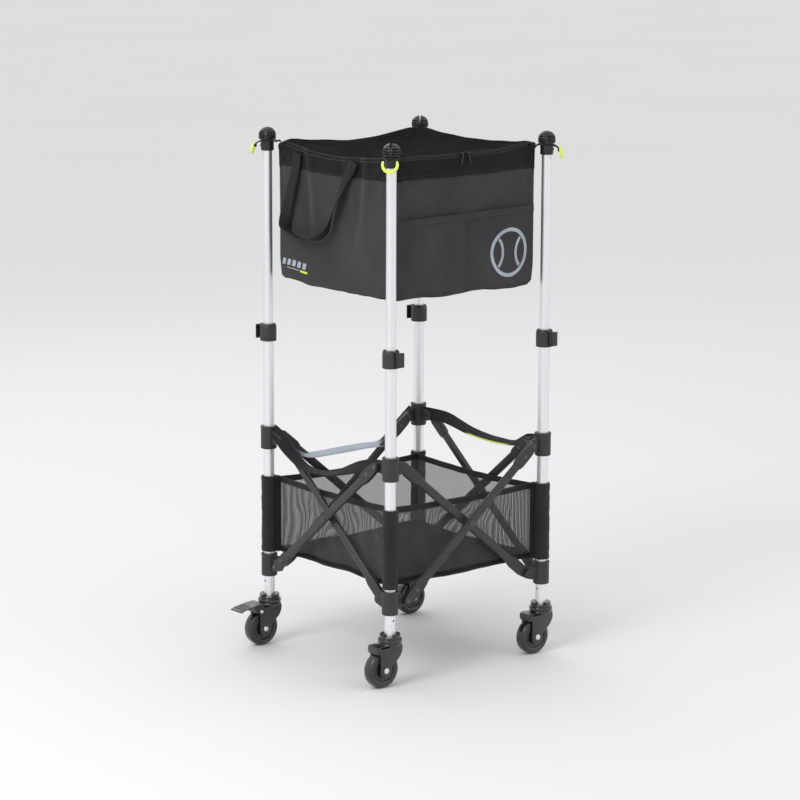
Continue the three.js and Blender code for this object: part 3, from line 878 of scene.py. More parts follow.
def panel(name, surface, rows, columns, thickness, materials, body, replaces=None, pick=None):
    """A cloth over a grid of surface(a, b), both in metres. It has the surface's own normals, so
    two panels that meet on one surface shade as one cloth. pick(a, b) chooses a material."""
    na, nb = len(rows), len(columns)
    h = 0.0015
    points, normals, uvs = [], [], []
    for a in rows:
        for b in columns:
            points.append(surface(a, b))
            da = surface(a + h, b) - surface(a - h, b)
            db = surface(a, b + h) - surface(a, b - h)
            normals.append(da.cross(db).normalized())
            uvs.append((a, b))
    faces, loops, which = [], [], []

    def quad(corners, shading, mat):
        faces.append(tuple(corners))
        loops.extend(shading)
        which.append(mat)

    n = na * nb
    for i in range(na - 1):
        for j in range(nb - 1):
            k = i * nb + j
            q = (k, k + nb, k + nb + 1, k + 1)
            mid = ((rows[i] + rows[i + 1]) / 2, (columns[j] + columns[j + 1]) / 2)
            mat = pick(*mid) if pick else 0
            quad(q, [normals[k] for k in q], mat)
            if thickness:
                quad([k + n for k in reversed(q)], [-normals[k] for k in reversed(q)], mat)
    if thickness:
        points += [p - m * thickness for p, m in zip(points, normals)]
        uvs += uvs
        rim = [i * nb for i in range(na)] + [(na - 1) * nb + j for j in range(1, nb)]
        rim += [i * nb + nb - 1 for i in range(na - 2, -1, -1)] + list(range(nb - 2, 0, -1))
        for a, b in zip(rim, rim[1:] + rim[:1]):
            quad((b, a, a + n, b + n), [(0, 0, 0)] * 4, 0)
    mesh = bpy.data.meshes.new(name)
    mesh.from_pydata([tuple(p) for p in points], [], faces)
    for material in materials:
        mesh.materials.append(material)
    uv_layer(mesh, faces, uvs)
    mesh.polygons.foreach_set("material_index", which)
    mesh.update()
    mesh.shade_smooth()
    mesh.normals_split_custom_set([tuple(v) for v in loops])
    return shown(name, mesh, body, replaces, None)


def smooth_path(controls, steps):
    """Catmull-Rom through rows of numbers, steps stations between each two."""
    rows = [np.array(c, float) for c in controls]
    rows = [2 * rows[0] - rows[1]] + rows + [2 * rows[-1] - rows[-2]]
    out = []
    for k in range(1, len(rows) - 2):
        p0, p1, p2, p3 = rows[k - 1 : k + 3]
        last = k == len(rows) - 3
        for i in range(steps + last):
            t = i / steps
            out.append(
                0.5 * (2 * p1 + (p2 - p0) * t + (2 * p0 - 5 * p1 + 4 * p2 - p3) * t**2
                       + (3 * p1 - p0 - 3 * p2 + p3) * t**3)
            )
    return out


def swept(points, section, sides=None):
    """A shape and its UV: a section of (across, up) pairs along points. Its width follows the
    sides, or without any it turns as little as it can."""
    across, run = Vector((0.3, 0.2, 1)).normalized(), 0.0
    rings, uvs = [], []
    for k, p in enumerate(points):
        before, after = points[max(0, k - 1)], points[min(len(points) - 1, k + 1)]
        t = (after - before).normalized()
        s = sides[k] if sides else across
        s = across = (s - t * s.dot(t)).normalized()
        n = t.cross(s)
        run += (p - before).length
        rings.append([p + s * a + n * b for a, b, _ in section])
        uvs += [(run, w) for _, _, w in section]
    v, f = skin(rings)
    return v, flipped(f), uvs


def ribbon_shape(points, sides, width, thick, curl=0.0):
    """A strap, which may curl up towards its edges."""
    w, t = width / 2, thick / 2
    e = min(t * 0.8, 0.0006)
    top = [(-w + e, t), (-w * 0.5, t), (0, t), (w * 0.5, t), (w - e, t)]
    edge = [(w, t - e), (w, -t + e)]
    section = top + edge + [(a, -b) for a, b in reversed(top)] + [(-a, -b) for a, b in edge]
    return swept(points, [(a, b + curl * (a / w) ** 2, a) for a, b in section], sides)


def ribbon(name, points, sides, width, thick, material, body, replaces=None,
           fold=None, curl=0.0):
    v, f, uvs = ribbon_shape(points, sides, width, thick, curl)
    return emit(name, (v, f), material, body, replaces, fold, 50, uvs)


def stitch_row(points, normals, pitch=0.0042, length=0.0027, width=0.0008):
    """Sewing thread: little raised bars along a line, with one normal or one for each point."""
    v, f = [], []
    run, next_at = 0.0, pitch / 2
    for k in range(1, len(points)):
        a, b = points[k - 1], points[k]
        step = (b - a).length
        while next_at <= run + step:
            p = a.lerp(b, (next_at - run) / max(step, 1e-9))
            n = normals[k] if isinstance(normals, list) else normals
            d = (b - a).normalized()
            s = n.cross(d).normalized()
            rise = n * 0.0005
            o = len(v)
            for end in (-length / 2, length / 2):
                near = p + d * end * 0.7
                v += [p + d * end - s * width / 2, near - s * width * 0.1 + rise,
                      near + s * width * 0.1 + rise, p + d * end + s * width / 2]
            f += [(o + i, o + 4 + i, o + 5 + i, o + 1 + i) for i in range(3)]
            f += [(o, o + 1, o + 2, o + 3), (o + 7, o + 6, o + 5, o + 4), (o + 3, o + 7, o + 4, o)]
            next_at += pitch
        run += step
    return v, flipped(f)


def stitches(name, lines, body, slot="canvas", fold=None, **sizes):
    """Rows of thread; lines holds pairs of points and normals."""
    rows = [stitch_row(*line, **sizes) for line in lines]
    return emit(name, joined(*rows), M_THREAD, body, None, fold)


# ---- bag ----
BAG_TOP, BAG_BASE = BAG_HIGH.z + 0.0002, BAG_LOW.z + 0.0015
BAND_DEPTH = 0.043
BAND_EDGE = BAG_TOP - BAND_DEPTH
POCKET_TOP = BAG_TOP - 0.112
ZIP_Z = BAG_TOP - 0.0055
ROUND = 0.014  # radius of the bag's upright corners
FLAT = BAG_HALF - ROUND
ARC = ROUND * math.pi / 4
RUN = FLAT + ARC  # half the length of a side, round to the middle of its corners
ROLL = 0.008  # radius where the wall turns under
CLOTH = 0.0012  # thickness
CORNER_STRIP = 0.0045
PUCKER_AT = 0.165  # where the loops pull, along X and Y from the centre
# corners of the top: signs of x and y, how far its loop pulls it up, and how far its tip drops
CORNERS = (
    (-1, -1, 0.003, 0.0045), (1, -1, 0.005, 0.0045), (-1, 1, 0.0135, 0.0085), (1, 1, 0.0105, 0.0045)
)


def bag_outline(s, inset=0.0):
    """Along and outward distances at a run s from the middle of a side."""
    a = abs(s)
    if a <= FLAT:
        return s, BAG_HALF - inset
    t = (a - FLAT) / ROUND
    r = ROUND - inset
    return math.copysign(FLAT + r * math.sin(t), s), FLAT + r * math.cos(t)


def corner_lift(x, y):
    """The elastic loops pull each corner of the top up, and the rear left one most."""
    out = 0.0
    for sx, sy, lift, drop in CORNERS:
        d = math.hypot(x - sx * PUCKER_AT, y - sy * PUCKER_AT)
        out += lift * math.exp(-((d / 0.085) ** 1.6))
        tip = math.hypot(x - sx * BAG_CORNER, y - sy * BAG_CORNER)
        out -= drop * math.exp(-((tip / 0.015) ** 2))
    return out


def top_wave(x, y):
    """The rim sags between its corners, less on the front and the right, where the zip is."""
    front, right, rear = (max(0.0, w / BAG_HALF) for w in (-y, x, y))
    rim = -0.0045 + 0.0095 * front**3 + 0.0075 * right**3 + 0.0025 * rear**3
    return corner_lift(x, y) + rim + ripple((x, y, 0), 14, 0.003, 6.0)


def bottom_wave(p):
    """An uneven hem, and corners that turn up a little."""
    corner = math.hypot(abs(p[0]) - BAG_HALF, abs(p[1]) - BAG_HALF)
    up = 0.0034 * math.exp(-((corner / 0.024) ** 1.5))
    return ripple(p, 11, 0.0055, 4.0) + ripple(p, 31, 0.0018, 9.0) - 0.0022 + up


def height_share(z):
    return (z - BAG_BASE) / (BAG_TOP - BAG_BASE)


def wall_swell(side, s, z):
    """How far a wall stands out from its flat place: slack, folds and its own weight."""
    high = height_share(z)
    middle = bulge(s, RUN * 1.02)
    p = (s, SIDES[side][0] * 0.013, z)
    belly = 0.003 * middle * math.sin(math.pi * min(1, max(0, 1 - high)))
    swell = -belly if side == "left" else belly * 0.6
    swell += ripple(p, 9, 0.0042, 1.0) * middle
    swell += ripple(p, 24, 0.0014, 5.0) * (0.3 + 0.7 * middle)
    if side == "left":  # three folds, each a groove with a ridge beside it
        for at, lean, deep in ((-0.098, 0.1, 0.005), (0.084, -0.12, 0.0048), (0.02, 0.2, 0.0022)):
            along = at + lean * (BAG_TOP - z)
            fade = deep * ease(high, 0.25, 0.62) * (1 - ease(high, 0.93, 1.0) * 0.6)
            swell += fade * (0.8 * bell(s, along + 0.024, 0.013) - bell(s, along, 0.012))
    else:
        lean = s + 0.35 * (z - BAG_BASE)
        swell += 0.0012 * middle * math.sin(lean * 46 + SIDES[side][0])
    for corner in (-1, 1):
        d = math.hypot(s - corner * RUN, z - BAG_TOP)
        angle = math.atan2(BAG_TOP - z, (RUN - corner * s) + 1e-6)
        swell += 0.0022 * math.exp(-d / 0.05) * math.sin(angle * 13)
    return swell


def bag_wall(side):
    def surface(s, z):
        below = BAG_BASE + ROLL - z
        inset, level, turn = 0.0, z, 1
        if below > 0:  # the wall turns under
            t = min(math.pi / 2, below / ROLL)
            inset = ROLL * (1 - math.cos(t)) + max(0, below - ROLL * math.pi / 2)
            level = BAG_BASE + ROLL - ROLL * math.sin(t)
            turn = math.cos(min(1.5, below / ROLL))
        along, out = bag_outline(s, inset)
        high = height_share(level)
        out += wall_swell(side, s, max(z, BAG_BASE + ROLL)) * turn
        out += 0.0009 * ease(z, BAND_EDGE - 0.0012, BAND_EDGE)
        out -= 0.004 * ease(z, BAG_TOP - 0.006, BAG_TOP + 0.002)
        out -= 0.0045 * bell(abs(s), RUN, 0.022) * (1 - ease(high, 0.0, 0.16))
        p = on_side(side, along, out, level)
        x, y = p.x - CENTRE.x, p.y - CENTRE.y
        p.z += bottom_wave((x, y, 0)) * (1 - ease(high, 0.0, 0.45))
        p.z += top_wave(x, y) * ease(high, 0.72, 1.0)
        return p

    return surface


def wall_cloth(s, z):
    """The band round the top, the strips at the corners, or plain canvas."""
    if z > BAND_EDGE:
        return 1
    return 2 if abs(s) > RUN - CORNER_STRIP else 0


def make_bag_walls():
    rows = spread(BAG_BASE + ROLL - ROLL * math.pi / 2 - 0.0015, BAG_BASE + ROLL, 9)
    rows += spread(BAG_BASE + ROLL, BAND_EDGE - 0.0012, 44)[1:]
    rows += [BAND_EDGE] + spread(BAND_EDGE, BAG_TOP, 12)[1:]
    left = spread(-RUN, -FLAT, 8)[:-1]
    columns = left + spread(-FLAT, FLAT, 56) + [-s for s in reversed(left)]
    for side, (_, post) in SIDES.items():
        wall, body = bag_wall(side), "mast_" + post
        obj = panel(
            "bag_wall_" + side, wall, columns, rows, CLOTH, (M_CANVAS, M_BAND, M_BAND), body,
            "bag_body" if side == "front" else None, wall_cloth,
        )
        fold_with(obj, side, BAG_CORNER)
        # two rows of thread where the band is sewn on
        out = side_vector(side, 0, 1)
        lines = [
            ([wall(s, BAND_EDGE + up) for s in spread(-RUN, RUN, 160)], out)
            for up in (0.0022, 0.0062)
        ]
        stitches("band_stitches_" + side, lines, body, fold=(side, BAG_CORNER))


# strips of the floor and lid: name, from y to y, the floor's body, gathered at the middle, layer
STRIPS = (
    ("front", -BAG_HALF, -0.067, FRONT_LEFT, False, 0.0),
    ("middle", -0.067, 0.067, "bag", True, 0.0007),
    ("rear", 0.067, BAG_HALF, "mast_rear_left", False, 0.0014),
)
LID_BODY = {"front": "lid_front", "middle": "lid_middle", "rear": "lid"}


def half_width(y, inset):
    """Half the width of the bag's outline at y, less an inset."""
    over = abs(y) - FLAT
    if over <= 0:
        return BAG_HALF - inset
    r = ROUND - inset
    over = min(over, r * 0.99999)
    return FLAT + math.sqrt(r * r - over * over)


def make_bag_floor():
    edge = BAG_HALF - ROLL
    for strip, low, high, body, middle, step in STRIPS:
        low, high = max(low, -edge), min(high, edge)

        def surface(y, u, step=step):
            y = max(-edge, min(edge, y))
            x = u * half_width(y, ROLL) / BAG_HALF
            sag = -0.004 * bulge(x, 0.17) * bulge(y, 0.17)
            z = BAG_BASE + bottom_wave((x, y, 0)) + sag - 0.0004 + step * 0.3
            return above(x, y, z)

        columns = spread(-BAG_HALF, BAG_HALF, 44)
        obj = panel("bag_floor_" + strip, surface, spread(low, high, 20), columns, -CLOTH,
                    (M_BAND,), body)
        gather(obj, middle)


def lid_height(x, y):
    inside = bulge(abs(x), 0.172, 4) * bulge(abs(y), 0.172, 4)
    slack = ripple((x, y, 0), 8, 0.01, 2.0) + ripple((x, y, 0), 21, 0.0042, 7.0) - 0.0065
    z = BAG_TOP + top_wave(x, y) + inside * slack
    for sx, sy, _, _ in CORNERS:  # puckers that fan out from each corner
        dx, dy = sx * PUCKER_AT - x, sy * PUCKER_AT - y
        d, angle = math.hypot(dx, dy), math.atan2(dy, dx)
        fan = 0.003 * math.sin(angle * 14 + sx) * inside**0.25
        z += fan * math.exp(-d / 0.09) * (1 - math.exp(-d / 0.02))
    return z


def lid_surface(y, u):
    y = max(-BAG_HALF + 0.0008, min(BAG_HALF - 0.0008, y))
    x = u * half_width(y, 0.0006) / BAG_HALF
    edge = min(BAG_HALF - abs(y), half_width(y, 0.0) - abs(x))
    return above(x, y, lid_height(x, y) - 0.0035 * (1 - ease(edge, 0.0, 0.009)) + CLOTH)


def make_lid():
    for strip, low, high, *_ in STRIPS:
        columns = spread(-BAG_HALF, BAG_HALF, 90)
        obj = panel(f"lid_{strip}_cloth", lid_surface, spread(low, high, 40), columns, -CLOTH,
                    (M_LID,), LID_BODY[strip], "bag_lid_" + strip)
        gather(obj, False)


def pocket_surface():
    """The pocket bags out between its seams at the middle and at the sides."""
    wall, reach = bag_wall("front"), RUN - 0.0035

    def surface(s, z):
        high = (z - BAG_BASE) / (POCKET_TOP - BAG_BASE)
        base = wall(s, z + high * 0.018 * s)
        seam = min(abs(s), reach - abs(s))
        slack = ease(seam, 0.0, 0.035) * (0.25 + 0.75 * ease(high, 0.1, 1.0)) * 0.0042
        slack += 0.0006 * math.sin(s * 60 + 2) * ease(seam, 0.0, 0.02)
        rim = 0.0005 * bell(z, POCKET_TOP - 0.0145, 0.001)
        return base + Vector((0, -0.0016 - slack + rim, 0))

    return surface, reach


def make_pocket():
    """Two open pockets across the front, sewn down at the middle and at the sides."""
    surface, reach = pocket_surface()
    out = Vector((0, -1, 0))
    across, rows = spread(-reach, reach, 90), spread(BAG_BASE + 0.006, POCKET_TOP, 34)
    obj = panel("front_pocket", surface, across, rows, 0.001, (M_CANVAS,), FRONT_LEFT)
    fold_with(obj, *ON_FRONT)
    hem = [surface(s, POCKET_TOP - 0.0068) + out * 0.0004 for s in across]
    ribbon("pocket_hem", hem, [UP] * len(hem), 0.014, 0.0007, M_CANVAS, FRONT_LEFT, fold=ON_FRONT)
    lines = []
    for down in (0.0022, 0.0118):
        row = [surface(s, POCKET_TOP - down) for s in spread(-reach, reach, 120)]
        lines.append(([p + out * 0.0009 for p in row], out))
    for s in (-0.0016, 0.0016):
        row = [surface(s, z) for z in spread(BAG_BASE + 0.012, POCKET_TOP - 0.002, 60)]
        lines.append(([p + out * 0.0001 for p in row], out))
    stitches("pocket_stitches", lines, FRONT_LEFT, fold=ON_FRONT)


def flat_ring(outer, inner, start, end, steps):
    return arc(0, 0, outer, start, end, steps) + arc(0, 0, inner, end, start, steps)


def laid(outline, s0, z0, side, surface):
    """A printed outline, laid on a cloth with its origin at s0, z0."""
    v, f = prism(outline, 0, 0.0004)
    bm = bmesh.new()
    verts = [bm.verts.new(p) for p in v]
    for face in f:
        bm.faces.new([verts[i] for i in face])
    bmesh.ops.triangulate(bm, faces=bm.faces)
    bmesh.ops.subdivide_edges(bm, edges=bm.edges, cuts=1)
    out = side_vector(side, 0, 1)
    points, faces = taken(bm)
    return [surface(s0 + p.x, z0 + p.y) + out * (0.0002 + p.z) for p in points], faces


def make_prints():
    """A plain ball outline on the pocket, and slanted bars and a dash on the left: no lettering."""
    rings = [flat_ring(0.0465, 0.0395, start, start + 179.5, 60) for start in (0, 180)]
    for sign, start in ((-1, -43), (1, 137)):
        curve = flat_ring(0.041, 0.0352, start, start + 86, 30)
        rings.append([(x + sign * 0.0545, y) for x, y in curve])
    pocket = pocket_surface()[0]
    ball = [laid(ring, 0.108, POCKET_TOP - 0.085, "front", pocket) for ring in rings]
    emit("ball_print", joined(*ball), M_PRINT, FRONT_LEFT, None, ON_FRONT)
    wall = bag_wall("left")
    tall = 0.0125
    bars = [(-0.165 + 0.016 * i, 0.01, tall, 0.78) for i in range(5)]
    bars.append((-0.15, 0.04, 0.0014, 0.774))
    dash = [(-0.107, 0.021, 0.0042, 0.7725)]
    for name, material, rows in (("bar_print", M_PRINT, bars), ("dash_print", M_PRINT_NEON, dash)):
        pieces = []
        for s0, long, high, z0 in rows:
            lean = 0.0035 * high / tall
            outline = [(t, 0) for t in spread(0, long, 6)]
            outline += [(t + lean, high) for t in spread(long, 0, 6)]
            pieces.append(laid(outline, s0, z0, "left", wall))
        emit(name, joined(*pieces), material, FRONT_LEFT, None, ON_LEFT)


def make_zip():
    """The lid's zip runs round the front and both sides, just under its edge."""
    for side in ("front", "right", "left"):
        wall, body, fold = bag_wall(side), "mast_" + SIDES[side][1], (side, BAG_CORNER)
        line, outs = [], []
        for s in spread(-RUN, RUN, 110):
            n = (wall(s + 0.001, ZIP_Z) - wall(s - 0.001, ZIP_Z)).cross(UP).normalized()
            line.append(wall(s, ZIP_Z) + n * 0.0004)
            outs.append(n)
        ribbon("zip_tape_" + side, line, [UP] * len(line), 0.0092, 0.0008, M_BINDING, body,
               fold=fold)
        raised = [p + n * 0.0007 for p, n in zip(line, outs)]
        teeth = stitch_row(raised, outs, pitch=0.0019, length=0.001, width=0.0042)
        emit("zip_teeth_" + side, teeth, M_ZIP, body, None, fold)
    wall = bag_wall("front")
    body = rounded_box(0.0085, 0.003, 0.007, 0.001)
    bail = rounded_box(0.003, 0.0024, 0.008, 0.0009, (0, -0.0026, -0.001))
    tab = prism([
        (-0.0016, 0), (0.0016, 0), (0.0024, -0.0135), (0.0014, -0.0165),
        (-0.0014, -0.0165), (-0.0024, -0.0135),
    ], -0.0007, 0.0007, 0.0004)
    sliders = []
    for s, lean in ((-0.012, 0.2), (0.003, -0.28)):
        p = wall(s, ZIP_Z) + Vector((0, -0.0022, 0))
        hung = T(0, -0.0034, -0.003) @ Matrix.Rotation(lean, 4, "Y") @ Z_TO_Y
        sliders.append(place(joined(body, bail, place(tab, hung)), T(*p)))
    emit("zip_pulls", joined(*sliders), M_ZIP, FRONT_LEFT, None, ON_FRONT)


def make_handle():
    """A strap hangs from two sewn ends on the left face and turns over at its lowest point."""
    rows = [  # along Y, up, out from the wall, then the direction across the strap
        (0.112, 1.006, 0.0012, 0.0, 1.0, 0.0), (0.1125, 0.998, 0.0022, 0.0, 1.0, 0.0),
        (0.114, 0.978, 0.0036, 0.0, 1.0, 0.06), (0.122, 0.945, 0.0062, 0.05, 1.0, 0.1),
        (0.134, 0.902, 0.009, 0.2, 1.0, 0.15), (0.14, 0.872, 0.011, 0.55, 0.9, 0.3),
        (0.131, 0.855, 0.013, 1.0, 0.25, 0.35), (0.104, 0.845, 0.0135, 1.0, 0.0, 0.25),
        (0.07, 0.841, 0.013, 1.0, 0.0, 0.2), (0.038, 0.846, 0.0125, 1.0, -0.05, 0.2),
        (0.013, 0.86, 0.012, 0.9, -0.3, 0.1), (-0.004, 0.884, 0.0115, 0.75, -0.6, -0.1),
        (-0.02, 0.922, 0.009, 0.6, -0.8, -0.2), (-0.044, 0.968, 0.005, 0.2, -1.0, -0.15),
        (-0.0585, 0.99, 0.0026, 0.0, -1.0, -0.04), (-0.064, 0.998, 0.0018, 0.0, -1.0, 0.0),
        (-0.066, 1.0045, 0.001, 0.0, -1.0, 0.0),
    ]
    path = smooth_path(rows, 9)
    points = [above(-BAG_HALF - 0.0012 - out, y, z) for y, z, out, _, _, _ in path]
    sides = [Vector((-wx, wy, wz)) for *_, wx, wy, wz in path]
    ribbon("carry_handle", points, sides, 0.025, 0.0017, M_WEB, FRONT_LEFT,
           "bag_handle", ON_LEFT)
    # a box of thread where each end is sewn to the band
    w, z0, z1 = 0.009, 0.982, 0.996
    box = [(-w, z1), (w, z1), (w, z0), (-w, z0), (-w, z1), (w, z0)]
    lines = []
    for middle in (0.11, -0.062):
        line = []
        for a, b in zip(box, box[1:]):
            for t in (0, 0.5):
                y, z = (a[i] + (b[i] - a[i]) * t for i in (0, 1))
                line.append(above(-BAG_HALF - 0.0052, middle + y, z))
        lines.append((line, Vector((-1, 0, 0))))
    stitches("handle_stitches", lines, FRONT_LEFT, "webbing", ON_LEFT, pitch=0.0034, length=0.0024)


# ---- elastic loops and pulls ----
CORD_DIAMETER = 0.0026


def loop_route(name):
    """From the bag's corner round one side of the cap's neck, through the pull, and back."""
    sx, sy = signs(name)
    out, across = outward_frame(name)
    start = BAG_TOP + corner_lift(sx * 0.158, sy * 0.158) * 0.9 - 0.006
    near = (HALF - BAG_CORNER) * math.sqrt(2) + 0.002
    half = [  # outwards from the post, across, up
        (-near, 0.0026, start), (-near + 0.0035, 0.004, start + 0.003),
        (-0.019, 0.0082, 1.024), (-0.013, 0.0118, 1.0257), (-0.003, 0.0148, 1.026),
        (0.007, 0.0134, 1.0254), (0.015, 0.0082, 1.0236), (0.0215, 0.0044, 1.02),
        (0.0243, 0.0022, 1.0168),
    ]
    route = smooth_path(half + [(r, -a, z) for r, a, z in reversed(half)], 5)
    return [POST[name] + out * r + across * a + Vector((0, 0, z)) for r, a, z in route]


def make_loops():
    r, sides = CORD_DIAMETER / 2, 10
    angles = [2 * math.pi * i / sides for i in range(sides)]
    section = [(r * math.cos(a), r * math.sin(a), r * a) for a in angles]
    for name in POSTS:
        route = loop_route(name)
        v, f, uvs = swept(route, section)
        cord = emit("elastic_loop_" + name, (v, f), M_CORD, "mast_" + name,
                    angle=60, uvs=uvs)
        long = sum((b - a).length for a, b in zip(route, route[1:]))
        tuple(route[0])
        [tuple(p) for p in route]


def make_pulls():
    """Bright crescent finger pulls, thicker at the grip, each with a tab in its loop."""
    r, steps, n = 0.014, 40, 12
    for name in POSTS:
        out, across = outward_frame(name)
        middle = POST[name] + out * 0.0244
        line = []
        for i in range(steps + 1):
            t = math.radians(-205 + 230 * i / steps)
            hang = out * (0.003 - 0.22 * r * math.sin(t))
            rise = Vector((0, 0, 1.0152 + r * math.sin(t)))
            line.append(middle + hang + across * (r * math.cos(t)) + rise)
        rings = []
        for k, p in enumerate(line):
            w = (line[min(steps, k + 1)] - line[max(0, k - 1)]).normalized().cross(out)
            thick = 0.0021 + 0.0014 * math.sin(math.pi * k / steps)
            thick *= 0.45 if k in (0, steps) else 1
            angles = [2 * math.pi * i / n for i in range(n)]
            rings.append([p + (out * math.cos(a) * 0.85 + w * math.sin(a)) * thick for a in angles])
        body, node = "mast_" + name, "pull_" + name
        emit("finger_pull_" + name, skin(rings), M_PULL, body, node, angle=50)
        at = T(*(POST[name] + out * 0.024 + Vector((0, 0, 1.015)))) @ turned(outward(name))
        tab = place(rounded_box(0.0052, 0.0056, 0.006, 0.0012), at)
        emit("pull_tab_" + name, tab, M_CORD, body)


# ---- basket ----
FLOOR_TOP = 0.2
FLOOR_HALF = 0.181
FLOOR_SPLIT = 0.062
NET_OUT = 0.1782
NET_REACH = 0.1885
SLEEVE_R = 0.0157


def basket_wave(x, y):
    return ripple((x, y, 0), 9, 0.006, 12.0) - 0.0015


def net_wall(side):
    def surface(s, z):
        high = (z - FLOOR_TOP) / (BASKET_TOP - FLOOR_TOP)
        middle = bulge(s, 0.18)
        p = (s, SIDES[side][0] * 0.011, z)
        lean = -0.0035 * middle * (0.4 + 0.6 * math.sin(math.pi * min(1, max(0, high))))
        lean += min(0, ripple(p, 10, 0.004, 3.0)) * middle
        lean += 0.0008 * middle * math.sin(s * 120 + high * 6)
        q = on_side(side, s, NET_OUT + lean, z)
        wave = basket_wave(q.x - CENTRE.x, q.y - CENTRE.y)
        q.z += wave * (1 - ease(high, 0, 0.6)) * ease(0.19 - abs(s), 0, 0.05)
        q.z -= 0.005 * middle * ease(high, 0.5, 1.0)
        return q

    return surface


def make_nets():
    across = spread(-NET_REACH, NET_REACH, 80)
    for side, (_, post) in SIDES.items():
        surface, body, fold = net_wall(side), "leg_" + post, (side, HALF)
        rows = spread(FLOOR_TOP - 0.004, BASKET_TOP - 0.002, 30)
        obj = panel("net_" + side, surface, across, rows, 0, (M_NET,), body)
        fold_with(obj, *fold)
        out, along = side_vector(side, 0, 1), side_vector(side, 1, 0)
        tapes = []
        for z, wide in ((BASKET_TOP - 0.006, 0.0125), (FLOOR_TOP - 0.001, 0.012)):
            line = [surface(s, z) for s in across]
            tapes.append(ribbon_shape(line, [UP] * len(line), wide, 0.0019))
        for s in (-NET_REACH + 0.0055, NET_REACH - 0.0055):
            line = [surface(s, z) for z in spread(FLOOR_TOP, BASKET_TOP - 0.004, 30)]
            tapes.append(ribbon_shape(line, [along] * len(line), 0.011, 0.0017))
        uvs = [u for tape in tapes for u in tape[2]]
        emit("net_binding_" + side, joined(*[tape[:2] for tape in tapes]), M_BINDING, body,
             None, fold, 50, uvs)
        lines = []
        for z in (BASKET_TOP - 0.0102, BASKET_TOP - 0.002):
            line = [surface(s, z) + out * 0.001 for s in spread(-NET_REACH, NET_REACH, 100)]
            lines.append((line, out))
        stitches("net_stitches_" + side, lines, body, "webbing", fold)


def make_sleeves():
    """Cloth tubes round the legs, drawn a little towards the basket, hemmed at each end."""
    low, high = BASKET_LOW.z + 0.001, BASKET_TOP + 0.0005
    for name in POSTS:
        sx, sy = signs(name)
        seed = sx * 3.7 + sy * 1.9
        inward = math.atan2(-sy, -sx)

        def radius(r, z, a):
            if r < 0.0135:
                return r
            p = (math.cos(a) * 0.016, math.sin(a) * 0.016, z)
            wrinkle = ripple(p, 60, 0.0007, seed)
            wrinkle += ripple((p[0], p[1], z * 0.25), 150, 0.0006, seed)
            wrinkle += 0.00025 * math.sin(z * 310 + 3 * math.cos(a) + seed)
            hem = 0.0004 * (bell(z, high - 0.004, 0.0035) + bell(z, low + 0.004, 0.0035))
            pull = 0.0012 * max(0, math.cos(a - inward)) ** 3
            return r + min(0.0006, wrinkle) + hem + pull

        outer = SLEEVE_R - 0.0004
        rows = [(0.0121, low), (0.0142, low)]
        rows += [(outer, z) for z in spread(low + 0.0006, high - 0.0006, 44)]
        rows += [(0.0142, high), (0.0121, high - 0.0002), (0.0117, high - 0.006)]
        rows += [(0.0117, low + 0.006), (0.0121, low)]
        shape = lathe(rows, 64, radius)
        uvs = [(math.atan2(p[1], p[0]) * SLEEVE_R, p[2]) for p in shape[0]]
        emit("leg_sleeve_" + name, place(shape, T(*POST[name])), M_SLEEVE, "leg_" + name,
             angle=60, uvs=uvs)
        lines = []  # rings of thread at the hems
        for z in (low + 0.007, high - 0.007):
            ring = []
            for i in range(73):
                a = 2 * math.pi * i / 72
                r = radius(outer, z, a) + 0.0001
                ring.append(POST[name] + Vector((r * math.cos(a), r * math.sin(a), z)))
            lines.append((ring, [(p - POST[name] - UP * z).normalized() for p in ring]))
        stitches("sleeve_stitches_" + name, lines, "leg_" + name)


def make_basket_floor():
    strips = (
        ("front", -FLOOR_HALF, -FLOOR_SPLIT, "leg_front_left", False, 0.0),
        ("middle", -FLOOR_SPLIT, FLOOR_SPLIT, "basket", True, 0.0004),
        ("rear", FLOOR_SPLIT, FLOOR_HALF, "leg_rear_left", False, 0.0008),
    )
    for strip, low, high, body, middle, step in strips:

        def surface(y, x, step=step):
            sag = -0.0055 * bulge(x, 0.178) * bulge(y, 0.178)
            near = min(FLOOR_HALF - abs(x), FLOOR_HALF - abs(y))
            z = FLOOR_TOP - 0.0005 + sag + step
            z += basket_wave(x, y) * ease(math.hypot(0.19 - abs(x), 0.19 - abs(y)), 0, 0.06)
            z += ripple((x, y, 0), 22, 0.0016, 2.0) + 0.0016 * (1 - ease(near, 0, 0.006))
            return above(x, y, z)

        columns = spread(-FLOOR_HALF, FLOOR_HALF, 60)
        obj = panel("basket_floor_" + strip, surface, spread(low, high, 22), columns, -0.0014,
                    (M_FLOOR_CLOTH,), body, "basket" if middle else None)
        gather(obj, middle)


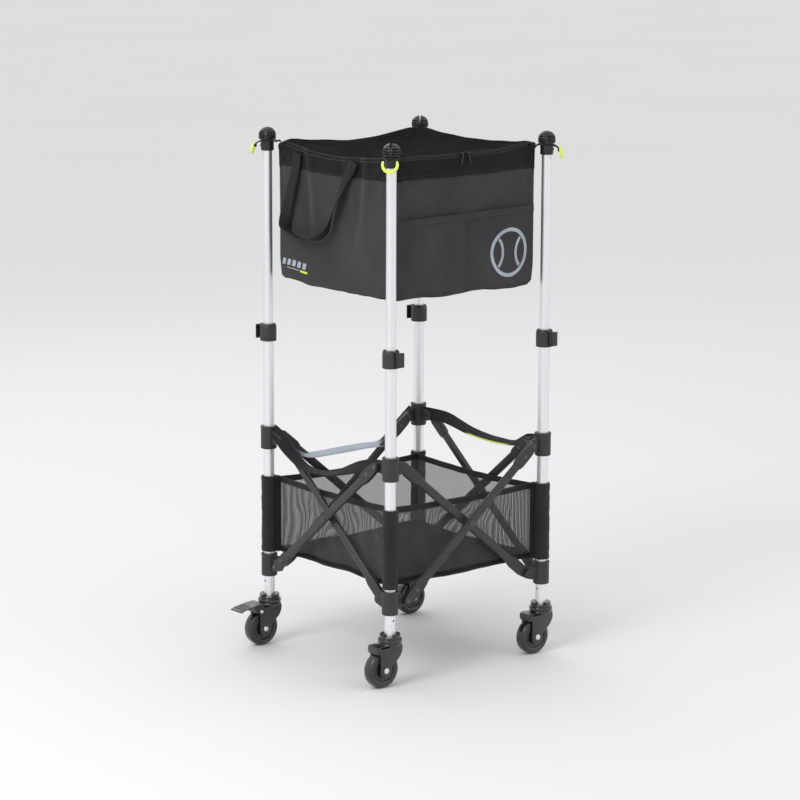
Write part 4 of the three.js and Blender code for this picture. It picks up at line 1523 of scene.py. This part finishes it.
# ---- straps between the upper hubs ----
# each row: along the side, out from the post line, up, and the direction across the strap
STRAPS = {
    "right": ("front_right", 0.024, M_WEB_NEON, [
        (-0.179, 0.0, 0.433, 0.0, 0.1, 1.0), (-0.15, 0.0, 0.429, 0.0, 0.2, 1.0),
        (-0.128, -0.001, 0.423, 0.1, 0.8, 0.8), (-0.1, -0.002, 0.415, 0.0, 1.0, 0.3),
        (-0.06, -0.002, 0.4135, 0.0, 1.0, 0.3), (-0.018, 0.0, 0.4138, 0.0, 1.0, 0.34),
        (0.03, 0.0, 0.4188, 0.0, 1.0, 0.45), (0.07, 0.0, 0.427, 0.0, 0.9, 0.6),
        (0.105, 0.0, 0.4335, 0.0, 0.6, 0.9), (0.145, 0.0, 0.434, 0.0, 0.2, 1.0),
        (0.179, 0.0, 0.433, 0.0, 0.1, 1.0),
    ]),
    "rear": ("rear_left", 0.024, M_WEB_SILVER, [
        (-0.179, 0.0, 0.439, 0.0, 0.1, 1.0), (-0.162, 0.0, 0.425, 0.3, 0.3, 1.0),
        (-0.138, -0.001, 0.406, 0.5, 0.5, 0.8), (-0.11, -0.002, 0.383, 0.3, 0.9, 0.6),
        (-0.088, -0.002, 0.3775, 0.0, 1.0, 0.3), (-0.053, -0.001, 0.3785, 0.0, 1.0, 0.3),
        (0.0, 0.0, 0.3775, 0.0, 1.0, 0.32), (0.06, 0.0, 0.3765, 0.0, 1.0, 0.3),
        (0.1, 0.0, 0.379, 0.0, 1.0, 0.35), (0.13, 0.0, 0.395, -0.4, 0.8, 0.7),
        (0.158, 0.0, 0.42, -0.5, 0.3, 0.9), (0.179, 0.0, 0.438, 0.0, 0.1, 1.0),
    ]),
    "left": ("front_left", 0.025, M_WEB, [
        (-0.179, 0.0, 0.445, 0.0, -0.2, 1.0), (-0.158, 0.001, 0.434, 0.3, -0.7, 0.8),
        (-0.125, 0.002, 0.411, 0.3, -1.0, 0.35), (-0.078, 0.002, 0.388, 0.1, -1.0, 0.1),
        (-0.03, 0.001, 0.383, 0.0, -1.0, 0.12), (0.015, 0.0, 0.389, 0.0, -1.0, 0.35),
        (0.062, 0.0, 0.404, 0.0, -0.7, 0.8), (0.102, 0.0, 0.417, 0.0, -0.35, 1.0),
        (0.14, 0.0, 0.426, 0.0, -0.15, 1.0), (0.179, 0.0, 0.43, 0.0, -0.05, 1.0),
    ]),
}


def make_straps():
    for side, (hub, width, material, rows) in STRAPS.items():
        path = smooth_path(rows, 12)
        points = [on_side(side, s, HALF + out, z) for s, out, z, _, _, _ in path]
        sides = [side_vector(side, ws, wo, wz) for *_, ws, wo, wz in path]
        ribbon("spreader_strap_" + side, points, sides, width, 0.0016, material,
               "sliding_hub_" + hub, "strap_" + side, (side, HALF), 0.0006)


# ---- studio ----
def make_stage():
    s = Shader("studio_floor", (0.765, 0.755, 0.765), 0.7)
    s.shade(s.ramp(s.noise(s.coords(), 0.7, 2)), 0.985, 1.0)
    mesh = bpy.data.meshes.new("studio_floor")
    mesh.from_pydata([(-40, -40, 0), (40, -40, 0), (40, 40, 0), (-40, 40, 0)], [], [(0, 1, 2, 3)])
    mesh.materials.append(s.mat)
    floor = bpy.data.objects.new("studio_floor", mesh)
    bpy.context.scene.collection.objects.link(floor)


def make_lights():
    world = bpy.data.worlds.new("studio")
    world.use_nodes = True
    background = world.node_tree.nodes["Background"]
    background.inputs["Color"].default_value = (0.99, 0.985, 1.0, 1)
    background.inputs["Strength"].default_value = 0.94
    bpy.context.scene.world = world
    for name, at, aim, size, energy in (
        ("key", (-3.0, -0.6, 3.0), 0.5, 1.6, 60),
        ("fill", (2.2, -3.2, 2.0), 0.6, 2.4, 11),
        ("back", (0.8, 3.0, 2.8), 0.7, 2.0, 16),
    ):
        data = bpy.data.lights.new(name, "AREA")
        data.energy = energy
        data.size = size
        obj = bpy.data.objects.new(name, data)
        obj.location = at
        toward = Vector((0, 0, aim)) - Vector(at)
        obj.rotation_euler = toward.to_track_quat("-Z", "Y").to_euler()
        bpy.context.scene.collection.objects.link(obj)


for make in (
    make_camera, make_loops,
    make_tubes, make_sockets, make_hubs, make_struts, make_collars, make_caps, make_casters,
    make_wheels, make_pedal,
    make_bag_walls, make_bag_floor, make_lid, make_pocket, make_prints, make_zip, make_handle,
    make_pulls, make_nets, make_sleeves, make_basket_floor, make_straps,
    make_stage, make_lights,
):
    make()
bpy.context.scene.view_settings.view_transform = "Standard"
